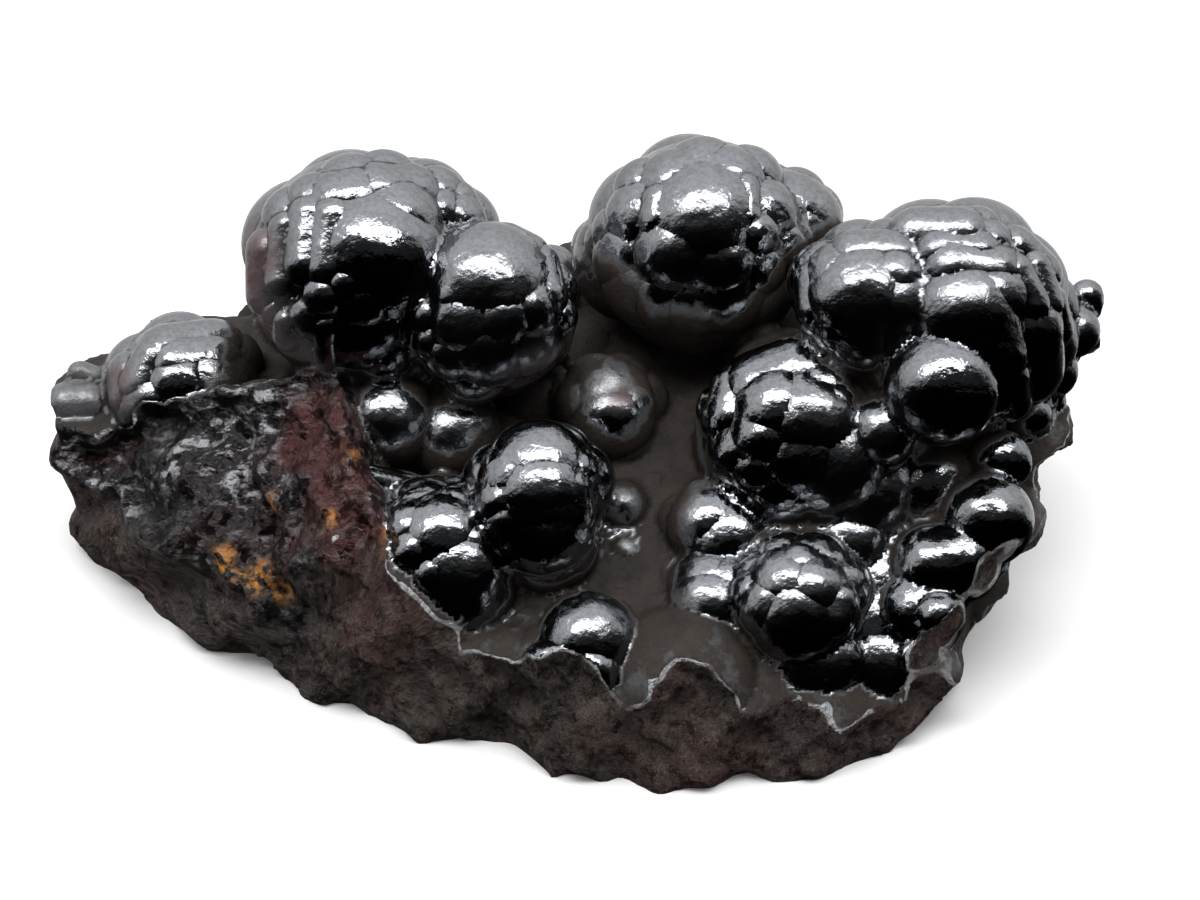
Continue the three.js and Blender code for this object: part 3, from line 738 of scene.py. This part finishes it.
on_shoulder = smooth_step(*ON_SHOULDER, np.abs(shoulder_gap))
broken = np.maximum(broken, on_block * np.maximum(steep, on_shoulder))
depth = np.maximum(np.maximum(0, -gap[0]), SHOULDER_DEPTH * on_block * on_shoulder)
print(len(co), "points,", round(100 * float(np.mean(broken > 0.5))), "% of them broken")

# %% Move the skin onto the balls
REACH = 0.6  # points farther than this from their ball stay where they are
STILL_BELOW = 1  # and so do all points this near to the table
for _ in range(2):
    d, out = out_of_ball(co, which[0])
    pull = smooth_step(REACH, 0.6 * REACH, np.abs(d)) * (1 - broken) * (co[:, 2] > STILL_BELOW)
    co -= out * (d * pull)[:, None]
    which, gap = two_nearest(co)
left = np.percentile(np.abs(gap[0][broken < 0.5]), 95)
print("19 of 20 points of the skin lie within", round(float(left), 3), "mm of their ball")

# %% Sharpen the creases
SNAP = 0.42 * VOXEL  # a point this near to a crease moves into it
LEAST_TURN = 0.06  # balls that meet at a flatter angle have no crease
ON_BALL = 0.3  # points farther than this from their ball have none either
for _ in range(2):
    (d1, out1), (d2, out2) = out_of_ball(co, which[0]), out_of_ball(co, which[1])
    turn = np.sum(out1 * out2, axis=1)
    sharp = 1 - turn * turn
    near = (d2 - d1) / np.sqrt(np.maximum(sharp, 1e-6)) < SNAP
    near &= (sharp > LEAST_TURN) & (np.abs(d1) < ON_BALL)
    near &= (broken < 0.5) & (co[:, 2] > STILL_BELOW)
    a = (turn * d2 - d1) / np.maximum(sharp, LEAST_TURN)
    b = (turn * d1 - d2) / np.maximum(sharp, LEAST_TURN)
    co += (out1 * a[:, None] + out2 * b[:, None]) * near[:, None]
set_points(stone.data, co)
print(int(near.sum()), "points lie in a crease")

# %% [markdown]
# ## Fibres in the break
#
# The fibres of kidney ore run straight out from the middle of each dome, and the stone
# splits along them. So the relief of the break follows them: its noise is read from the
# direction in which a point lies, seen from the middle of its dome, and that gives a fan
# of ridges. Ledges and coarser lumps come on top.

# %% Relief of the break
GROWTH_CENTRES = [(Vector(dome["at"]), dome["radius"]) for dome in DOMES.values()]
GROWTH_CENTRES += [(Vector((x, y, z)), r) for x, y, z, r in GROUND_LUMPS]
grow_from = np.array([tuple(c) for c, _ in GROWTH_CENTRES])
grow_size = np.array([r for _, r in GROWTH_CENTRES])


def growth(co):
    """Which dome each point grew from, and the direction of its fibre."""
    domes = zip(grow_from, grow_size)
    distance = np.stack([np.linalg.norm(co - c, axis=1) - r for c, r in domes])
    home = distance.argmin(axis=0)
    ray = co - grow_from[home]
    return home, ray / np.linalg.norm(ray, axis=1)[:, None]


# heights in mm, each with how fine its noise is
LUMP_HEIGHT, LUMP_FINENESS = 0.9, 0.13
LEDGE_HEIGHT, LEDGE_FINENESS = 0.8, 0.33
FAN_HEIGHT, FAN_FINENESS = 0.8, 9
SPLINTER_HEIGHT, SPLINTER_FINENESS, SPLINTER_BREAKS = 0.45, 26, 0.08
SUNK = 0.2
home, ray = growth(co)
normals = get_normals(stone.data)
push = np.zeros(len(co))
for i in np.nonzero(broken > 0.02)[0]:
    p, r = Vector(co[i]), Vector(ray[i])
    fan = noise.noise(r * FAN_FINENESS + Vector((home[i], 0, 0)))
    splinter = noise.noise(r * SPLINTER_FINENESS + p * SPLINTER_BREAKS)
    lump = noise.noise(p * LUMP_FINENESS + Vector((7, 0, 0)))
    ledge = noise.noise(p * LEDGE_FINENESS)
    push[i] = (
        LUMP_HEIGHT * lump + LEDGE_HEIGHT * ledge + FAN_HEIGHT * fan
        + SPLINTER_HEIGHT * abs(splinter) - SUNK
    )
# none at the table, and none right below the skin
push *= broken * smooth_step(0.3, 3, co[:, 2]) * smooth_step(0.2, 3, depth)
co += normals * push[:, None]
set_points(stone.data, co)
print("relief from", round(push.min(), 2), "to", round(push.max(), 2), "mm")

# %% [markdown]
# ## Exact normals for a mirror
#
# A polished skin shows every small error of the squares beneath it. Each square of skin
# belongs to one ball, so its corners get that ball's own normal: the lumps then reflect
# like true balls and the creases between them stay as sharp as a knife cut.

# %% Give each corner the normal of its ball
NORMAL_REACH = 0.2  # only corners this near to their ball get its normal
MOSTLY_SKIN = 0.3  # and only where the mask of the break is below this
face_ball, _ = two_nearest(read_vectors(stone.data.polygons, "center"))
corner_ball = np.repeat(face_ball[0], read_counts(stone.data.polygons, "loop_total"))
corner_point = read_counts(stone.data.loops, "vertex_index")
d, out = out_of_ball(co[corner_point], corner_ball)
exact = (np.abs(d) < NORMAL_REACH) & (broken[corner_point] < MOSTLY_SKIN)
corner_normals = np.where(exact[:, None], out, 0)
stone.data.normals_split_custom_set(corner_normals.tolist())
print(round(100 * float(exact.mean())), "% of the corners have the normal of a ball")

# %% [markdown]
# ## Where dust settles and shade is painted
#
# Dust and fine clay stay where nothing wipes them off: in creases and in the valley. Rays
# sent out from each point tell how open the sky is above it. Few rays hit nothing in a
# crease, and almost all of them do on top of a dome. Where few rays get out, the dark film
# is also painted shade.

# %% Openness of every point
RAYS = 18  # in each half of the sphere
RAY_LENGTH = 14
RAY_START = 0.3  # rays leave this far above the surface
GRAZING = 0.1  # rays flatter than this don't count


def openness(mesh, co, normals):
    """The share of the rays from each point that meet nothing."""
    tree = search_tree(mesh)
    ways = [seed_direction(i, 1 - (i + 0.5) / RAYS) for i in range(2 * RAYS)]
    found = np.zeros(len(co))
    for i, (p, n) in enumerate(zip(co, normals)):
        n = Vector(n)
        start = Vector(p) + n * RAY_START
        free = total = 0
        for way in ways:
            weight = way.dot(n)
            if weight > GRAZING:
                total += weight
                if tree.ray_cast(start, way, RAY_LENGTH)[0] is None:
                    free += weight
        found[i] = free / total
    return found


sky = openness(stone.data, co, get_normals(stone.data))
print("openness: median", round(float(np.median(sky)), 2), "least", round(float(sky.min()), 2))

# %% [markdown]
# ## Marks in the skin
#
# Some domes carry a film of red rust or brown dust. The break has a few spots of yellow
# ochre, and its splinters are red. Each is written down as a soft spot: a place, how far
# it reaches, and how strong it is.

# %% Spots of dust, rust, red stone and ochre
DUST_SPOTS = [
    # valley floor
    (12, 0, 20, 15, 1), (15, -10, 20, 10, 1), (14, 12, 24, 13, 1), (20, 14, 24, 12, 1),
    (8, -20, 16, 10, 1), (2, -28.5, 20, 8, 0.3), (12, -27, 17, 8, 0.6),
    # dusty middle dome and the low side of the back middle dome
    (4.5, 6, 30, 9, 0.45), (14, 13, 30, 12, 0.8), (5, 22, 30, 11, 0.8), (26, 12, 32, 10, 0.8),
    (7, 15, 40, 10, 1), (15, 9, 37, 10, 1), (24, 10, 36, 8, 0.9),
]
RUST_SPOTS = [
    # left flank of the back left dome
    (-48, 13, 46, 13, 1), (-45, 6, 40, 12, 0.9), (-38, 4, 34, 9, 0.7), (-46, 10, 53, 9, 0.8),
    # low on the dome left of the middle
    (-5, 0, 36, 9, 0.7),
    # far left dome, left flank of the back middle dome
    (-66, 9, 29, 6, 0.8), (3, 18, 42, 8, 0.8), (0, 26, 44, 9, 0.6), (6, 3, 32, 3, 1),
]
RED_STONE = [
    # the splinters between the sparkling break and the front left dome
    (-35, -6, 32, 9, 1), (-32, -13, 28, 8, 1), (-29, -19, 25, 8, 0.9), (-26, -24, 20, 7, 0.7),
]
OCHRE_SPOTS = [
    # a band below the sparkling break
    (-49, -15.5, 18, 4, 1), (-53, -13.5, 19, 3, 0.8), (-45, -17.5, 16.5, 4, 1),
    (-41, -18.5, 14.5, 3, 0.7),
    # single spots on the splinters and the far left
    (-64, 0, 25, 3, 1), (-31, -10, 32, 2.5, 0.8), (-26, -20, 26, 3, 0.7), (-33, -17, 27, 2, 0.8),
    (-42, -10, 24, 2, 0.8),
]
FULL_SPOT = 0.35  # a spot has its full strength up to this share of its reach


def spots(co, table):
    """Strength of a set of soft spots at every point, 0 to 1."""
    found = np.zeros(len(co))
    for x, y, z, reach, strength in table:
        gone = np.linalg.norm(co - np.array([x, y, z]), axis=1) / reach
        found = np.maximum(found, strength * smooth_step(1, FULL_SPOT, gone))
    return found


# %% Layers that the material reads
DUST_ON_GROUND = 0.8
DUST_LOW_ON_BACK_DOMES = 0.6
SHADY = (0.62, 0.3)  # openness at which the film of dust and painted shade begins, and at which it covers all
LOW_SIDE, AT_BACK = (42, 22), (2, 10)  # height, and distance to the back, where it does so too
# distance to the nearest crease, made large where balls meet flat and on the break
bend = np.sqrt(np.maximum(1 - np.sum(out1 * out2, axis=1) ** 2, 1e-4))
crease = (gap[1] - gap[0]) / bend + 2 * smooth_step(0.4, 0.08, bend) + 2 * broken
# the large facets are where a sparkling break is nearer than any other tool
others = np.minimum(tool_gaps[0], tool_gaps[SPARKLING + 1:].min(axis=0))
facet = smooth_step(-0.6, 0.2, others - tool_gaps[1:SPARKLING + 1].min(axis=0)) * broken
# distance below the skin, made large in the root and away from the break
under_skin = np.abs(gap[0]) + 3 * smooth_step(*IN_ROOT, root_gap) + 3 * smooth_step(1, 2, tool_gap)
on_ground = (which[0] >= first_ground) | (on_block > 0.5)
low_back = smooth_step(*LOW_SIDE, co[:, 2]) * smooth_step(*AT_BACK, co[:, 1])
# the film: dust in the spots, on the ground and low on the back domes, and painted shade where
# little sky is open
dust_and_shade = spots(co, DUST_SPOTS) + smooth_step(*SHADY, sky)
dust_and_shade += DUST_ON_GROUND * on_ground + DUST_LOW_ON_BACK_DOMES * low_back
layers = {
    "broken": broken,
    "facet": facet,
    "under_skin": np.clip(under_skin, 0, 5),
    "crease": crease,
    "dust_and_shade": np.clip(dust_and_shade, 0, 1),
    "rust": spots(co, RUST_SPOTS),
    "ochre": spots(co, OCHRE_SPOTS),
    "red_stone": spots(co, RED_STONE),
}
for name, values in layers.items():
    layer = stone.data.attributes.new(name, "FLOAT", "POINT")
    layer.data.foreach_set("value", values.astype(np.float32))
HOME_STEP = 0.37  # moves the pattern from dome to dome, so that no two fans are alike
fibre = stone.data.attributes.new("fibre", "FLOAT_VECTOR", "POINT")
own_pattern = HOME_STEP * home[:, None]
fibre.data.foreach_set("vector", (ray + own_pattern).astype(np.float32).ravel())
print("layers:", ", ".join(layers))

# %% [markdown]
# ## The material
#
# One shader makes skin, dust and break. The skin is polished hematite: a dark metal that
# mirrors its surroundings. Dust covers it where it settled, with painted shade in its
# hollows and creases, and the break is mostly dull, with small facets that glitter and a
# painted highlight along the cut edge of the skin.

# %% Helpers for the shader
def add(tree, kind, inputs=None, **settings):
    """A shader node. Inputs are values, or sockets to link."""
    made = tree.nodes.new("ShaderNode" + kind)
    for name, value in settings.items():
        setattr(made, name, value)
    for key, value in (inputs or {}).items():
        socket = made.inputs[key]
        if isinstance(value, bpy.types.NodeSocket):
            tree.links.new(value, socket)
        else:
            socket.default_value = value
    return made


def mix(tree, factor, a, b):
    """Between two colours."""
    made = add(tree, "Mix", data_type="RGBA")
    for socket, value in zip((made.inputs[0], made.inputs[6], made.inputs[7]), (factor, a, b)):
        if isinstance(value, bpy.types.NodeSocket):
            tree.links.new(value, socket)
        else:
            socket.default_value = (*value, 1) if isinstance(value, tuple) else value
    return made.outputs[2]


def level(tree, value, low, high, to_low=0.0, to_high=1.0):
    """Maps low..high of a value onto to_low..to_high, and holds the ends."""
    made = add(tree, "MapRange", {0: value, 1: low, 2: high, 3: to_low, 4: to_high})
    return made.outputs[0]


def calculate(tree, operation, a, b=0.0, c=0.0):
    """One step of arithmetic; MULTIPLY_ADD is a * b + c."""
    return add(tree, "Math", {0: a, 1: b, 2: c}, operation=operation).outputs[0]


# %% The hematite
hematite = bpy.data.materials.new("hematite")
hematite.use_nodes = True
tree = hematite.node_tree
tree.nodes.clear()
place = add(tree, "TexCoord").outputs["Object"]
flat_normal = add(tree, "NewGeometry").outputs["Normal"]
mask = {name: add(tree, "Attribute", attribute_name=name).outputs["Fac"] for name in layers}
along_fibre = add(tree, "Attribute", attribute_name="fibre").outputs["Vector"]


def grain(scale, detail=3.0, rough=0.5, vector=place):
    """Noise with about one spot per 1/scale metres."""
    inputs = {"Vector": vector, "Scale": scale, "Detail": detail, "Roughness": rough}
    return add(tree, "TexNoise", inputs).outputs[0]


def cells(scale, vector=place):
    """A random colour for each small cell, such as a crystal or a fibre."""
    return add(tree, "TexVoronoi", {"Vector": vector, "Scale": scale}).outputs["Color"]


def vector_step(operation, inputs):
    return add(tree, "VectorMath", inputs, operation=operation).outputs[0]


def tilted(normal, colour, amount):
    """Turns the normal a different way in each cell."""
    centred = vector_step("SUBTRACT", {0: colour, 1: (0.5, 0.5, 0.5)})
    push = vector_step("SCALE", {0: centred, "Scale": amount})
    return vector_step("NORMALIZE", {0: vector_step("ADD", {0: normal, 1: push})})


def times(a, b):
    return calculate(tree, "MULTIPLY", a, b)


def blend(factor, a, b):
    """Between two plain values."""
    return add(tree, "Mix", {0: factor, 2: a, 3: b}).outputs[0]


# colours, as linear light
POLISHED = (0.24, 0.25, 0.265)
PITTED = (0.06, 0.06, 0.064)
# painted shade for the creases
SHADE_IN_CREASE = (0.01, 0.009, 0.009)
# a dark film of dust, which also paints shade in the hollows
FILM_THIN = (0.008, 0.0058, 0.0044)
FILM_THICK = (0.037, 0.025, 0.018)
RUST = (0.085, 0.032, 0.029)
OCHRE = (0.42, 0.17, 0.02)
BREAK_DARK = (0.009, 0.0067, 0.0056)
BREAK_BROWN = (0.045, 0.03, 0.023)
BREAK_RED = (0.055, 0.02, 0.016)
FIBRE_LIT = (0.12, 0.09, 0.075)
FIBRE_PALE = (0.11, 0.085, 0.065)
FIBRE_DARK = (0.006, 0.004, 0.004)
FACET_DARK = (0.036, 0.033, 0.034)
FACET_BRIGHT = (0.36, 0.36, 0.38)
FACET_RED = (0.08, 0.032, 0.03)
# the cut edge of the skin, made brighter than the polished skin as a painted highlight
RIM_HIGHLIGHT = (0.55, 0.56, 0.58)
STEPS_DRAWN_OUT = (0.35, 1.0, 1.0)  # makes the bright steps of the facet three times as long

# where the stone is broken, with a sharp edge
split_off = level(tree, mask["broken"], 0.44, 0.56)

# dust and painted shade: a dark brown film, thicker where the mask and a fine grain agree
cloud = grain(260, 5, 0.65)
uneven = calculate(tree, "MULTIPLY_ADD", cloud, 0.9, -0.45)
dust_and_shade_cover = level(tree, calculate(tree, "ADD", mask["dust_and_shade"], uneven), 0.3, 0.8)
# painted shade: a near-black colour laid along the creases between lumps, broken up by a grain
crease_shade = times(level(tree, mask["crease"], 0.34, 0.1), level(tree, grain(180), 0.3, 0.6))
soft = times(dust_and_shade_cover, 0.95)
film = mix(tree, level(tree, cloud, 0.3, 0.7), FILM_THIN, FILM_THICK)

# skin: rust, small pits, a film of dust and painted shade, and painted shade in the creases over
# the polish
rusty = times(mask["rust"], level(tree, grain(120, 4), 0.3, 0.6))
skin = mix(tree, rusty, POLISHED, RUST)
skin = mix(tree, level(tree, grain(1300, 3, 0.7), 0.6, 0.35, 0, 0.35), skin, PITTED)
skin = mix(tree, soft, skin, film)
skin = mix(tree, times(crease_shade, 0.8), skin, SHADE_IN_CREASE)
satin = level(tree, grain(45, 3), 0.4, 0.65, 0.11, 0.24)

# break: bundles of fibres, each with its own tone
bundle = cells(16, along_fibre)
fibre_cell = cells(75, along_fibre)
fibre_tone = add(tree, "SeparateColor", {0: fibre_cell}).outputs[0]
tone = times(fibre_tone, add(tree, "SeparateColor", {0: bundle}).outputs[1])
patch = grain(140, 5, 0.6)
streak = level(tree, grain(42, 4, 0.65, along_fibre), 0.4, 0.6)
red = level(tree, calculate(tree, "MULTIPLY_ADD", mask["red_stone"], 0.25, grain(55, 3)), 0.5, 0.68)
pale = level(tree, grain(90, 4, 0.6, along_fibre), 0.52, 0.68)
stone_colour = mix(tree, level(tree, patch, 0.35, 0.65), BREAK_DARK, BREAK_BROWN)
stone_colour = mix(tree, red, stone_colour, BREAK_RED)
stone_colour = mix(tree, times(tone, 0.75), stone_colour, FIBRE_LIT)
stone_colour = mix(tree, times(pale, 0.4), stone_colour, FIBRE_PALE)
stone_colour = mix(tree, times(streak, 0.6), stone_colour, FIBRE_DARK)

# the large facet: bright steps, ochre on it, and a painted highlight on the cut edge of the skin
# around it
steps = vector_step("MULTIPLY", {0: place, 1: STEPS_DRAWN_OUT})
lively = level(tree, grain(75, 3), 0.42, 0.58, 0.15, 1)
fleck = times(lively, level(tree, grain(620, 4, 0.62, steps), 0.51, 0.58))
sparkling = mix(tree, fleck, FACET_DARK, FACET_BRIGHT)
sparkling = mix(tree, times(red, 0.8), sparkling, FACET_RED)
stone_colour = mix(tree, mask["facet"], stone_colour, sparkling)
ochre = times(mask["ochre"], level(tree, grain(700, 4), 0.42, 0.58))
stone_colour = mix(tree, ochre, stone_colour, OCHRE)
# painted highlight: the real cut edge of the skin gets a bright metal colour, brighter than the
# polish, so that it gleams
interrupted = level(tree, grain(110, 4, 0.6), 0.42, 0.52, 0.1, 1)
rim = times(level(tree, mask["under_skin"], 0.5, 0.3), interrupted)
stone_colour = mix(tree, rim, stone_colour, RIM_HIGHLIGHT)
colour = mix(tree, split_off, skin, stone_colour)

# metal and roughness: polish and steps are metal, dust and ochre are dull
glitter = level(tree, grain(500, 4, 0.7), 0.5, 0.6)
not_rusty = calculate(tree, "MULTIPLY_ADD", rusty, -0.6, 1.0)
metal_skin = calculate(tree, "SUBTRACT", not_rusty, soft)
metal_break = blend(mask["facet"], times(glitter, 0.6), 0.9)
metal_break = calculate(tree, "MAXIMUM", metal_break, rim)
metal = blend(split_off, metal_skin, calculate(tree, "SUBTRACT", metal_break, ochre))
dull_skin = blend(soft, calculate(tree, "MULTIPLY_ADD", rusty, 0.22, satin), 0.6)
dull_break = blend(mask["facet"], level(tree, glitter, 0, 1, 0.7, 0.4), 0.3)
dull = blend(split_off, dull_skin, dull_break)

# bumps: a hammered ripple on the skin, fibres and crystals in the break
slow = times(grain(150, 2, 0.4), 0.00055)
ripple = calculate(tree, "MULTIPLY_ADD", grain(480, 3, 0.55), 0.0002, slow)
fine = times(grain(1600, 4, 0.7), 0.00025)
height_skin = blend(soft, ripple, calculate(tree, "ADD", slow, fine))
height_break = calculate(tree, "MULTIPLY_ADD", grain(600, 5, 0.65), 0.0006, fine)
height = blend(split_off, height_skin, height_break)
split = mix(tree, mask["facet"], fibre_cell, cells(900))
turned = tilted(flat_normal, split, times(split_off, blend(mask["facet"], 0.7, 0.9)))
bump = add(tree, "Bump", {"Height": height, "Distance": 1.0, "Strength": 1.0, "Normal": turned})

# dust reflects less than bare stone
sheen = blend(split_off, blend(soft, 0.5, 0.15), 0.5)
shader = add(tree, "BsdfPrincipled", {
    "Base Color": colour, "Metallic": metal, "Roughness": dull, "Specular IOR Level": sheen,
    "Normal": bump.outputs[0],
})
add(tree, "OutputMaterial", {"Surface": shader.outputs[0]})
stone.data.materials.clear()
stone.data.materials.append(hematite)
print(len(tree.nodes), "nodes in the material")

# %% [markdown]
# ## Into the scene
#
# Everything so far is in millimetres and in the frame of the drawing. Moving the points
# themselves, rather than the object, leaves the stone at the origin with its size in its
# mesh, so that textures and exports read it without a scale.

# %% Move the stone into place
co = get_points(stone.data)
set_points(stone.data, (co - np.array(MIDDLE)) * MM)
for tool in [sides_tool, *wedge_tools]:
    bpy.data.objects.remove(tool)
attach(stone, "root")
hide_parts("hematite_specimen")
print("size, mm:", [round(d * 1000, 1) for d in stone.dimensions])

# %% [markdown]
# ## Floor and light
#
# A polished stone shows its surroundings rather than its own colour. One wide light hangs
# above it and gives every lump its bright band. The surroundings are bright behind the
# stone and dark in front of it, so that each dome is pale on top and almost black below,
# as beside a window. The floor doesn't show in the polish; a pale sky below the horizon
# stands for the part of it that lies behind the stone.

# %% Floor
mesh = bpy.data.meshes.new("floor")
bm = bmesh.new()
bmesh.ops.create_grid(bm, x_segments=1, y_segments=1, size=3)
bm.to_mesh(mesh)
bm.free()
floor = bpy.data.objects.new("floor", mesh)
scene.collection.objects.link(floor)
floor.visible_glossy = False
pale = bpy.data.materials.new("floor")
pale.use_nodes = True
pale.node_tree.nodes["Principled BSDF"].inputs["Base Color"].default_value = (0.9, 0.9, 0.9, 1)
pale.node_tree.nodes["Principled BSDF"].inputs["Roughness"].default_value = 1
floor.data.materials.append(pale)

# %% Lights
def area_light(name, place, target, size, power):
    """A rectangular light that faces its target."""
    lamp = bpy.data.lights.new(name, "AREA")
    lamp.shape = "RECTANGLE"
    lamp.size, lamp.size_y = size
    lamp.energy = power
    made = bpy.data.objects.new(name, lamp)
    scene.collection.objects.link(made)
    made.location = place
    made.rotation_euler = (Vector(target) - Vector(place)).to_track_quat("-Z", "Y").to_euler()


area_light("overhead band", (0, -0.07, 0.6), (0, 0, 0.03), (0.9, 0.22), 3.2)

# %% Surroundings
world = bpy.data.worlds.new("studio")
world.use_nodes = True
scene.world = world
sky_tree = world.node_tree
sky_tree.nodes.clear()
BRIGHT_SIDE = Vector((-0.22, 0.95, 0.24)).normalized()
FRONT_FILL = 0.24  # a weak light from everywhere, which only dull surfaces show
way = add(sky_tree, "TexCoord").outputs["Generated"]
along = add(sky_tree, "VectorMath", {0: way, 1: BRIGHT_SIDE}, operation="DOT_PRODUCT")
toward = along.outputs["Value"]
apart = add(sky_tree, "SeparateXYZ", {0: way})
height = apart.outputs["Z"]
over_floor = calculate(sky_tree, "MULTIPLY_ADD", apart.outputs["Y"], 0.95, height)
open_sky = level(sky_tree, toward, -0.14, 0.16, 0.03, 1.0)
above = level(sky_tree, over_floor, -0.06, 0.04, 0.03, 1.0)
brighter = level(sky_tree, height, 0.0, 0.9, 0.8, 1.5)
bright_part = calculate(sky_tree, "MULTIPLY", open_sky, above)
glow = calculate(sky_tree, "MULTIPLY", bright_part, brighter)
ray_kind = add(sky_tree, "LightPath").outputs
filled = calculate(sky_tree, "MULTIPLY_ADD", ray_kind["Is Diffuse Ray"], FRONT_FILL, glow)
strength = add(sky_tree, "Mix", {0: ray_kind["Is Camera Ray"], 2: filled, 3: 1.0}).outputs[0]
background = add(sky_tree, "Background", {"Color": (1, 1, 1, 1), "Strength": strength})
add(sky_tree, "OutputWorld", {"Surface": background.outputs[0]})
scene.view_settings.view_transform = "Standard"
